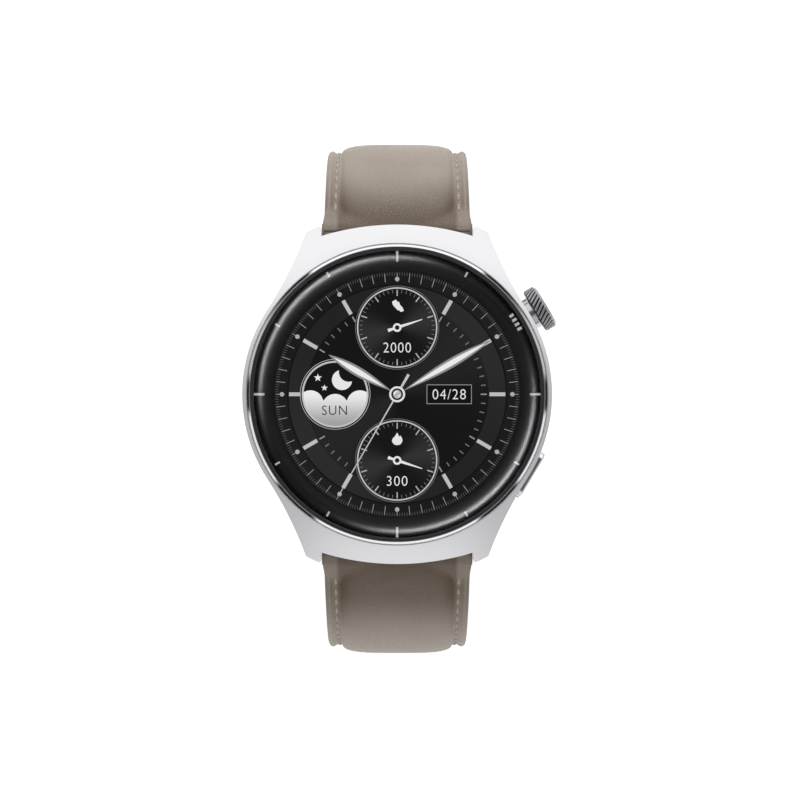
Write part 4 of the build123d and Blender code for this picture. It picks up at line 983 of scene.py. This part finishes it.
class WATCH_OT_strap(bpy.types.Operator):
    """Builds both strap halves with their lining, stitches, holes, edges, keepers and buckle roll"""

    bl_idname = "watch.strap"
    bl_label = "Strap"

    def execute(self, context):
        sizes = context.scene.watch_strap
        # The outer leather carries painted shade where it leaves the case.
        outer_finish = leather("strap_calf", tuple(sizes.colour), 0.46, case_shade=1.0)
        lining_finish = leather("lining_nubuck", tuple(sizes.lining_colour), 0.7, 5.0, 0.03)
        thread = Finish("linen_thread", (0.22, 0.18, 0.145), Roughness=0.7)
        twist = thread.noise(thread.place(), 7.0, 2.0)
        thread.drive("Base Color", thread.mix(twist, (0.17, 0.14, 0.11), (0.26, 0.215, 0.175)))
        thread.bump(twist, 0.03, 0.6)
        for name, side in (("short", 1), ("long", -1)):
            at, total = strap_route(side)
            self.half(sizes, name, side, at, total, outer_finish, lining_finish)
            self.stitches(sizes, name, at, total, thread)
        at, total = strap_route(1)
        self.buckle_roll(sizes, at, total, outer_finish)
        loops = (("fixed", "strap_short", 3.6, 0.1), ("free", "free_keeper", 9.2, 0.35))
        for name, body, back, gap in loops:
            self.keeper(sizes, name, body, at, total - back, gap, outer_finish)
        return {"FINISHED"}

    def keeper(self, sizes, name, body, at, start, gap, finish):
        """A leather loop: a rounded strip section, creased near both edges, carried round the strap."""
        wall, width = sizes.keeper_wall, sizes.keeper_width
        a = float(strap_half_width(sizes, start - width)) + gap + wall / 2
        low, high = -sizes.lining - gap - wall / 2, sizes.leather + sizes.tail_room + wall / 2
        bend = wall / 2 + 0.3
        turn = np.linspace(0, pi / 2, 8)
        corners = [(a - bend, high - bend, 0), (-a + bend, high - bend, 1), (-a + bend, low + bend, 2),
                   (a - bend, low + bend, 3)]
        path, out = [], []
        for x, w, quarter in corners:
            facing = np.stack([np.cos(turn + quarter * pi / 2), np.sin(turn + quarter * pi / 2)], -1)
            path.append(np.array([x, w]) + bend * facing)
            out.append(facing)
        path, out = np.concatenate(path)[:, None], np.concatenate(out)[:, None]
        s = np.linspace(-1, 1, 41)
        from_edge = (1 - np.abs(s)) * width / 2
        round_off = 0.3 * (1 - np.sqrt(np.clip(1 - np.clip(1 - from_edge / 0.3, 0, 1) ** 2, 0, 1)))
        crease = 0.11 * np.exp(-((from_edge - 0.75) / 0.13) ** 2)
        top = wall / 2 + 0.06 * (1 - s ** 2) - round_off - crease
        under = -wall / 2 + round_off[::-8]
        rise = np.concatenate([top, under])[None, :]
        run = np.concatenate([s, s[::-8]])[None, :]
        across = path[..., 0] + out[..., 0] * rise
        lift = path[..., 1] + out[..., 1] * rise
        length = start - width / 2 + np.broadcast_to(run, across.shape) * width / 2
        points = lay_on_route(at, length, across, lift)
        faces = grid_faces(*points.shape[:2], wrap_rows=True, wrap_columns=True)
        mesh_piece(f"{name}_keeper_loop", points.reshape(-1, 3), faces, body, finish,
                   (f"{name}_keeper",), turn_out=True)

    def buckle_roll(self, sizes, at, total, finish):
        """The leather folded round the buckle bar, in two blocks beside the tongue.

        Seen along the bar, each is a circle joined to the strap's thickness by a soft maximum of both
        distances from the bar's axis, with the bar's bore inside it.
        """
        roll, bore, back = 1.75, 0.84, 3.7
        turn = np.linspace(0, tau, 96, endpoint=False)[:, None]
        c, s = np.cos(turn), np.sin(turn)
        slab = np.minimum(back / np.maximum(-c, 1e-3), sizes.leather / np.maximum(np.abs(s), 1e-3))
        slab = np.where(c < 0, slab, 0.0)
        reach = (roll ** 10 + slab ** 10) ** 0.1
        inner, outer = 1.25, sizes.end_width / 2 - 0.06
        soft = 0.3
        edge = np.linspace(0, pi / 2, 6)[1:]
        x = np.concatenate([[inner, inner], inner + soft * (1 - np.cos(edge)), [inner + 2, outer - 2],
                            outer - soft * (1 - np.cos(edge[::-1])), [outer, outer]])
        drop = np.concatenate([[0, soft], soft * (1 - np.sin(edge)), [0, 0],
                               soft * (1 - np.sin(edge[::-1])),
                               [soft, 0]])[None, :]
        solid = np.ones((1, len(x)))
        solid[:, [0, -1]] = 0
        radius = bore * (1 - solid) + (reach - drop) * solid
        length, rise = total + radius * c, radius * s
        for name, hand in (("right", 1), ("left", -1)):
            points = lay_on_route(at, length, np.broadcast_to(hand * x[None, :], length.shape), rise)
            faces = grid_faces(*points.shape[:2], wrap_rows=True, wrap_columns=True)
            mesh_piece(f"buckle_roll_{name}", points.reshape(-1, 3), faces, "strap_short", finish,
                       turn_out=True)

    def hole_outlines(self, sizes, total):
        """Circles of the adjusting holes, as length along the half and distance across it."""
        places = total - sizes.hole_first - sizes.hole_pitch * np.arange(sizes.hole_count)
        ring = np.linspace(0, tau, 32, endpoint=False)
        length = places[:, None] + sizes.hole_radius * np.cos(ring)
        return np.stack([length, np.broadcast_to(sizes.hole_radius * np.sin(ring), length.shape)], -1)

    def punch(self, piece, at, outlines):
        """Cuts outlines, given as (hole, corner, (length, across)), through a piece of the strap."""
        count, corners = outlines.shape[:2]
        length, across = outlines[:, None, :, 0], outlines[:, None, :, 1]
        length, across, rise = np.broadcast_arrays(length, across, np.array([-4.0, 4.0])[None, :, None])
        points = lay_on_route(at, length, across, rise).reshape(-1, 3)
        k = np.arange(corners)
        after = (k + 1) % corners
        faces = []
        for base in np.arange(count) * 2 * corners:
            faces += (base + np.stack([k, after, corners + after, corners + k], -1)).tolist()
            faces += [(base + k[::-1]).tolist(), (base + corners + k).tolist()]
        mesh = bpy.data.meshes.new("punch")
        mesh.from_pydata((points * MM).tolist(), [], faces)
        work = bmesh.new()
        work.from_mesh(mesh)
        bmesh.ops.recalc_face_normals(work, faces=work.faces)
        work.to_mesh(mesh)
        work.free()
        punch = bpy.data.objects.new("punch", mesh)
        bpy.context.scene.collection.objects.link(punch)
        cut = piece.modifiers.new("holes", "BOOLEAN")
        cut.operation, cut.solver, cut.object = "DIFFERENCE", "EXACT", punch
        depsgraph = bpy.context.evaluated_depsgraph_get()
        punched = bpy.data.meshes.new_from_object(piece.evaluated_get(depsgraph))
        piece.modifiers.remove(cut)
        bpy.data.objects.remove(punch)
        punched.set_sharp_from_angle(angle=radians(50))
        piece.data = punched

    def half(self, sizes, name, side, at, total, outer_finish, lining_finish):
        """One half: outer leather from the roll to its end, the roll itself, and the lining."""
        start, end = 0.0, total - (3.5 if name == "short" else 0.0)
        length, tip = self.stations(name, start, end)
        rows = len(length)
        half = strap_half_width(sizes, length)
        u = section_across(72)[None, :]
        edge = 0.32
        across_top = u * (half - edge * 0.4)
        top = strap_top(sizes, length, across_top)
        over_edge = np.clip((np.abs(across_top) - half + edge) / edge, 0, 1)
        top = top - edge * (1 - np.sqrt(1 - over_edge ** 2))
        v = np.linspace(1, -1, 16)[None, :]
        across_low = v * (half - 0.05)
        low = np.full((rows, 16), 0.02)
        side_rise = np.array([0.62, 0.3])[None, :]
        right = np.broadcast_to(half, (rows, 2)), side_rise * np.ones((rows, 1))
        across = np.concatenate([across_top, right[0], across_low, -right[0][:, ::-1]], 1) * tip
        rise = np.concatenate([top, right[1], low, right[1][:, ::-1]], 1)
        points = lay_on_route(at, np.broadcast_to(length, across.shape), across, rise)
        body = f"strap_{name}"
        outer = closed_tube(f"{body}_leather", points, body, outer_finish,
                            (f"{body}_outer",))
        if name == "long":
            self.punch(outer, at, self.hole_outlines(sizes, total))
        turn = np.linspace(0, tau, 64, endpoint=False)[None, :]
        x = np.concatenate([[-1, -1], np.linspace(-1, 1, 20), [1, 1]])[:, None]
        shrink = np.concatenate([[0.45, 0.93], np.ones(20), [0.93, 0.45]])[:, None]
        y = side * BAR_PLACE[0] + ROLL_RADIUS * shrink * np.cos(turn)
        z = BAR_PLACE[1] + ROLL_RADIUS * shrink * np.sin(turn)
        roll = np.stack([np.broadcast_to(x * (sizes.width / 2 + LUG_FULL), y.shape), y, z], -1)
        closed_tube(f"{body}_roll", roll, body, outer_finish)
        lining_start = ROLL_RADIUS + 0.15
        length, tip = self.stations(name, lining_start, end - (0.75 if name == "short" else 0))
        half = (strap_half_width(sizes, length) - 0.08) * tip
        thick = sizes.lining
        outline = rounded([(1, -0.02), (-1, -0.02), (-1, -thick), (1, -thick)], 0.16, 4)
        corner = np.sign(outline[:, 0]) * (np.abs(outline[:, 0]) > 0.5)
        inset = (1 - np.abs(outline[:, 0])) * 1.6
        across = corner[None, :] * (half - inset[None, :])
        rise = np.broadcast_to(outline[:, 1][None, :], across.shape)
        points = lay_on_route(at, np.broadcast_to(length, across.shape), across, rise)
        inside = closed_tube(f"{body}_inside", points, body, lining_finish,
                             (f"{body}_lining",))
        if name == "long":
            self.punch(inside, at, self.hole_outlines(sizes, total))

    def stations(self, name, start, end):
        """Lengths of the sections and their share of the width, an ellipse at the tail's tip."""
        tip = 7.0
        if name == "short":
            length = np.linspace(start, end, int((end - start) / 0.55))
            return length[:, None], np.ones((len(length), 1))
        along = np.linspace(start, end - tip, int((end - tip - start) / 0.55))
        turn = np.linspace(0, pi / 2, 28)[1:]
        length = np.concatenate([along, end - tip + tip * np.sin(turn)])
        share = np.concatenate([np.ones(len(along)), np.maximum(np.cos(turn), 0.01)])
        return length[:, None], share[:, None]

    def stitches(self, sizes, name, at, total, thread):
        """Rows of short threads in the margins: capsules that dip into the leather at their ends."""
        first, last = 3.8, total - (15.5 if name == "short" else 8.5)
        count = int((last - first) / sizes.stitch_pitch)
        centre = first + (np.arange(count) + 0.5) * sizes.stitch_pitch
        t = np.linspace(-1, 1, 7)
        ring = np.linspace(0, tau, 8, endpoint=False)
        size = np.sqrt(np.clip(1 - np.abs(t) ** 3, 0.02, 1)) * sizes.thread / 2
        along = centre[:, None, None] + (t * sizes.stitch_length / 2)[None, :, None]
        rows = []
        for hand in (-1, 1):
            place = strap_half_width(sizes, along) - 1.62
            sink = -0.30 * np.abs(t)[None, :, None] ** 4
            a = hand * place + (size[:, None] * np.cos(ring)[None, :])[None]
            base = strap_top(sizes, along, place) + 0.02 + sink
            w = base + (size[:, None] * 0.8 * np.sin(ring)[None, :])[None]
            rows.append(lay_on_route(at, np.broadcast_to(along, a.shape), a, w))
        points = np.concatenate(rows)
        total_count, stations, around = points.shape[:3]
        one = grid_faces(stations, around, wrap_columns=True)
        faces = (one[None] + (np.arange(total_count) * stations * around)[:, None, None]).reshape(-1, 4)
        ends = np.arange(around)
        base = (np.arange(total_count) * stations * around)[:, None]
        caps = np.concatenate([base + ends[::-1], base + (stations - 1) * around + ends]).tolist()
        mesh_piece(f"strap_{name}_stitches", points.reshape(-1, 3), faces.tolist() + caps, f"strap_{name}",
                   thread, turn_out=True)


# ------------------------------------------------------------------ operators: finishes of CAD pieces


def cad_finishes():
    """Finish for each material slot whose CAD pieces stay as they are."""
    brushed = (1, 1, 14)
    return {
        "steel_case": steel("case_steel", (0.80, 0.80, 0.81), 0.2),
        "steel_collar": steel("collar_steel", (0.55, 0.55, 0.57), 0.2),
        "steel_button": steel("button_steel", (0.80, 0.80, 0.82), 0.1),
        "steel_buckle": steel("buckle_steel", (0.76, 0.76, 0.78), 0.2, 0.004, brushed),
        "screw_steel": steel("turned_steel", (0.62, 0.62, 0.64), 0.25),
        "spring_steel": steel("spring_wire", (0.5, 0.5, 0.52), 0.3),
        "back_steel": steel("back_steel", (0.66, 0.66, 0.68), 0.3, 0.004),
        "shield_steel": steel("shield_sheet", (0.66, 0.66, 0.68), 0.35),
        "sensor_glass": plain("sensor_black", (0.012, 0.012, 0.014), 0.08, Coat_Weight=1.0),
        "inner_plastic": plain("inner_plastic", (0.03, 0.03, 0.032), 0.5),
        "board": plain("solder_mask", (0.01, 0.09, 0.045), 0.35),
        "battery_foil": plain("battery_foil", (0.25, 0.25, 0.27), 0.4),
        "led_green": plain("led_resin", (0.3, 0.8, 0.4), 0.2),
        "copper": plain("copper_wire", (0.72, 0.36, 0.18), 0.35, Metallic=1.0),
        "ferrite": plain("ferrite_sheet", (0.06, 0.06, 0.065), 0.6),
        "polyimide": plain("polyimide_film", (0.55, 0.27, 0.05), 0.35),
        "black_rubber": plain("black_rubber", (0.015, 0.015, 0.016), 0.6),
        "screen": plain("panel_black", (0.006, 0.006, 0.007), 0.3),
        "black_print": plain("print_black", (0.006, 0.006, 0.007), 0.4),
        "strap_leather": leather("keeper_calf", (0.186, 0.158, 0.131), 0.46),
        "strap_filler": plain("foam_filler", (0.5, 0.47, 0.43), 0.9),
        "lining_leather": leather("inner_nubuck", (0.235, 0.18, 0.138), 0.7, 5.0, 0.03),
        "glass": plain("glass_block", (0.02, 0.02, 0.02), 0.1),
        "steel_bezel": steel("bezel_block", (0.8, 0.8, 0.82), 0.1),
        "steel_crown": steel("crown_block", (0.62, 0.62, 0.64), 0.16),
    }


class WATCH_OT_finishes(bpy.types.Operator):
    """Gives each piece that comes from the frame its finish"""

    bl_idname = "watch.finishes"
    bl_label = "Finishes"

    def execute(self, context):
        finishes = cad_finishes()
        for part in frame["record"]["subparts"]:
            node = frame["nodes"][part["node"]]
            finish = finishes[part["material_slot"]]
            if not node.material_slots:
                node.data.materials.append(finish.material)
            for holder in node.material_slots:
                holder.material = finish.material
        for name, width in (("buckle_frame", 0.3), ("buckle_tongue", 0.2)):
            weld = frame["nodes"][name].modifiers.new("weld", "WELD")
            weld.merge_threshold = 0.001 * MM
            edge = frame["nodes"][name].modifiers.new("edge", "BEVEL")
            edge.width, edge.segments = width * MM, 3
            edge.limit_method, edge.angle_limit = "ANGLE", radians(35)
        return {"FINISHED"}


# ------------------------------------------------------------------ operators: stage


class WATCH_OT_stage(bpy.types.Operator):
    """Sets the floor, the soft lights and the camera over the dial"""

    bl_idname = "watch.stage"
    bl_label = "Stage"

    def execute(self, context):
        scene = context.scene
        scene.view_settings.view_transform = "Standard"
        floor_z = CAD_BOX[0][2] - 0.0002
        self.floor(floor_z)
        self.sky(scene)
        self.lights()
        self.camera(scene)
        return {"FINISHED"}

    def floor(self, height):
        """A wide pale disc under the strap."""
        turn = np.linspace(0, tau, 128, endpoint=False)
        points = np.stack([3 * np.cos(turn), 3 * np.sin(turn), np.full(128, height)], -1)
        mesh = bpy.data.meshes.new("floor")
        mesh.from_pydata(points.tolist(), [], [list(range(128))])
        finish = Finish("floor_white", (0.9, 0.9, 0.9), Roughness=0.8, Emission_Color=(1, 1, 1),
                        Emission_Strength=0.6)
        mesh.materials.append(finish.material)
        floor = bpy.data.objects.new("floor", mesh)
        bpy.context.scene.collection.objects.link(floor)

    def sky(self, scene):
        """A studio as the polished steel sees it.

        Overhead is dim; below that comes a bright tent, strongest behind 12 o'clock; then a band whose dark
        and bright panels the bezel shows; and a dark line at the horizon that draws the edges.
        """
        world = bpy.data.worlds.new("studio")
        scene.world = world
        world.use_nodes = True
        studio = Nodes(world.node_tree)
        direction = studio.node("ShaderNodeTexCoord")
        x, y, z = studio.axes(direction)
        flat = studio.math("SQRT", x * x + y * y) + 0.0001
        turn = studio.math("ARCTAN2", x, y) * (180 / pi)
        ahead = y / flat
        tent = 0.58 + 0.58 * studio.step(ahead, 0.0, 0.85) + 0.34 * studio.step(-1.0 * ahead, 0.75, 1.0)
        side = abs(turn)
        front = 1 - studio.step(side, 34.0, 37.0)
        grey = studio.step(side, 46.0, 66.0) * (1 - studio.step(side, 80.0, 86.0)) * 0.6
        flank = studio.step(side, 95.0, 99.0) * (1 - studio.step(side, 124.0, 128.0)) * 0.95
        back = studio.step(side, 145.0, 149.0)
        panels = 0.02 + 1.2 * front + grey + flank + 1.05 * back
        horizon = 0.06
        low = studio.step(z, 0.10, 0.15)
        high = studio.step(z, 0.27, 0.33)
        over = studio.step(z, 0.90, 0.97)
        level = horizon * (1 - low) + panels * low * (1 - high) + tent * high * (1 - over) + 0.11 * over
        back_node = studio.tree.nodes["Background"]
        studio.feed(back_node.inputs["Color"], studio.node(
            "ShaderNodeCombineColor", i0=level, i1=level, i2=level * 1.01))
        back_node.inputs["Strength"].default_value = 1.0

    def lamp(self, name, place, size, power, target=(0, 0, 0.01)):
        """One soft box aimed at the dial."""
        data = bpy.data.lights.new(name, "AREA")
        data.shape = "DISK"
        data.size = size
        data.energy = power
        lamp = bpy.data.objects.new(name, data)
        bpy.context.scene.collection.objects.link(lamp)
        lamp.location = place
        lamp.rotation_mode = "QUATERNION"
        lamp.rotation_quaternion = (lamp.location - type(lamp.location)(target)).to_track_quat("Z", "Y")
        return lamp

    def lights(self):
        """Two arcs of small soft lamps for the rolled glass rim, and a box along the strap at each end."""
        glass = [bpy.data.objects["cover_glass_dome"]]
        straps = [o for o in bpy.data.objects if o.name.startswith("strap_") or "keeper" in o.name]
        arc = np.linspace(-44, 44, 8)
        lamps = [(f"rim_upper_left_{n}", 131 + a, 47, 0.26, 34 - abs(a) / 3, glass)
                 for n, a in enumerate(arc)]
        lamps += [(f"rim_lower_right_{n}", -50 + a, 47, 0.26, 38 - abs(a) / 3, glass)
                  for n, a in enumerate(arc)]
        lamps += [("box_above_12", 90, 78, 0.8, 14, straps), ("box_below_6", -90, 80, 0.8, 7.5, straps)]
        for name, turn, tilt, size, power, receivers in lamps:
            turn, tilt = radians(turn), radians(tilt)
            place = (sin(tilt) * cos(turn), sin(tilt) * sin(turn), cos(tilt))
            lamp = self.lamp(name, place, size, power)
            lit = bpy.data.collections.new(name)
            for piece in receivers:
                lit.objects.link(piece)
            lamp.light_linking.receiver_collection = lit

    def camera(self, scene):
        """Long lens straight over the dial, aimed a little right of and below its centre."""
        data = bpy.data.cameras.new("camera")
        camera = bpy.data.objects.new("camera", data)
        scene.collection.objects.link(camera)
        distance, span = 1.1, 0.1187
        data.sensor_width = 36.0
        data.lens = data.sensor_width * distance / span
        data.clip_start, data.clip_end = 0.01, 20.0
        camera.location = (0.00042, -0.00085, GLASS_LOW[2] * MM + distance)
        scene.camera = camera


class WATCH_PT_panel(bpy.types.Panel):
    """Shows the watch's sizes and the buttons that build its pieces in the sidebar"""

    bl_idname = "WATCH_PT_panel"
    bl_label = "Watch"
    bl_space_type = "VIEW_3D"
    bl_region_type = "UI"
    bl_category = "Watch"

    def draw(self, context):
        for group in ("watch_head", "watch_dial", "watch_strap"):
            sizes = getattr(context.scene, group)
            for key in sizes.__annotations__:
                self.layout.prop(sizes, key)
        for operator in OPERATORS:
            self.layout.operator(operator.bl_idname)


GROUPS = {"watch_head": WatchHeadSizes, "watch_dial": DialSizes, "watch_strap": StrapSizes}
OPERATORS = (WATCH_OT_finishes, WATCH_OT_glass, WATCH_OT_crown, WATCH_OT_dial, WATCH_OT_strap,
             WATCH_OT_stage)


def register():
    for group in GROUPS.values():
        bpy.utils.register_class(group)
    for operator in OPERATORS:
        bpy.utils.register_class(operator)
    bpy.utils.register_class(WATCH_PT_panel)
    for name, group in GROUPS.items():
        setattr(bpy.types.Scene, name, bpy.props.PointerProperty(type=group))


def unregister():
    for name in GROUPS:
        delattr(bpy.types.Scene, name)
    bpy.utils.unregister_class(WATCH_PT_panel)
    for cls in (*reversed(OPERATORS), *GROUPS.values()):
        bpy.utils.unregister_class(cls)


def main():
    register()
    for operator in OPERATORS:
        group, action = operator.bl_idname.split(".")
        getattr(getattr(bpy.ops, group), action)()


if __name__ == "__main__":
    main()
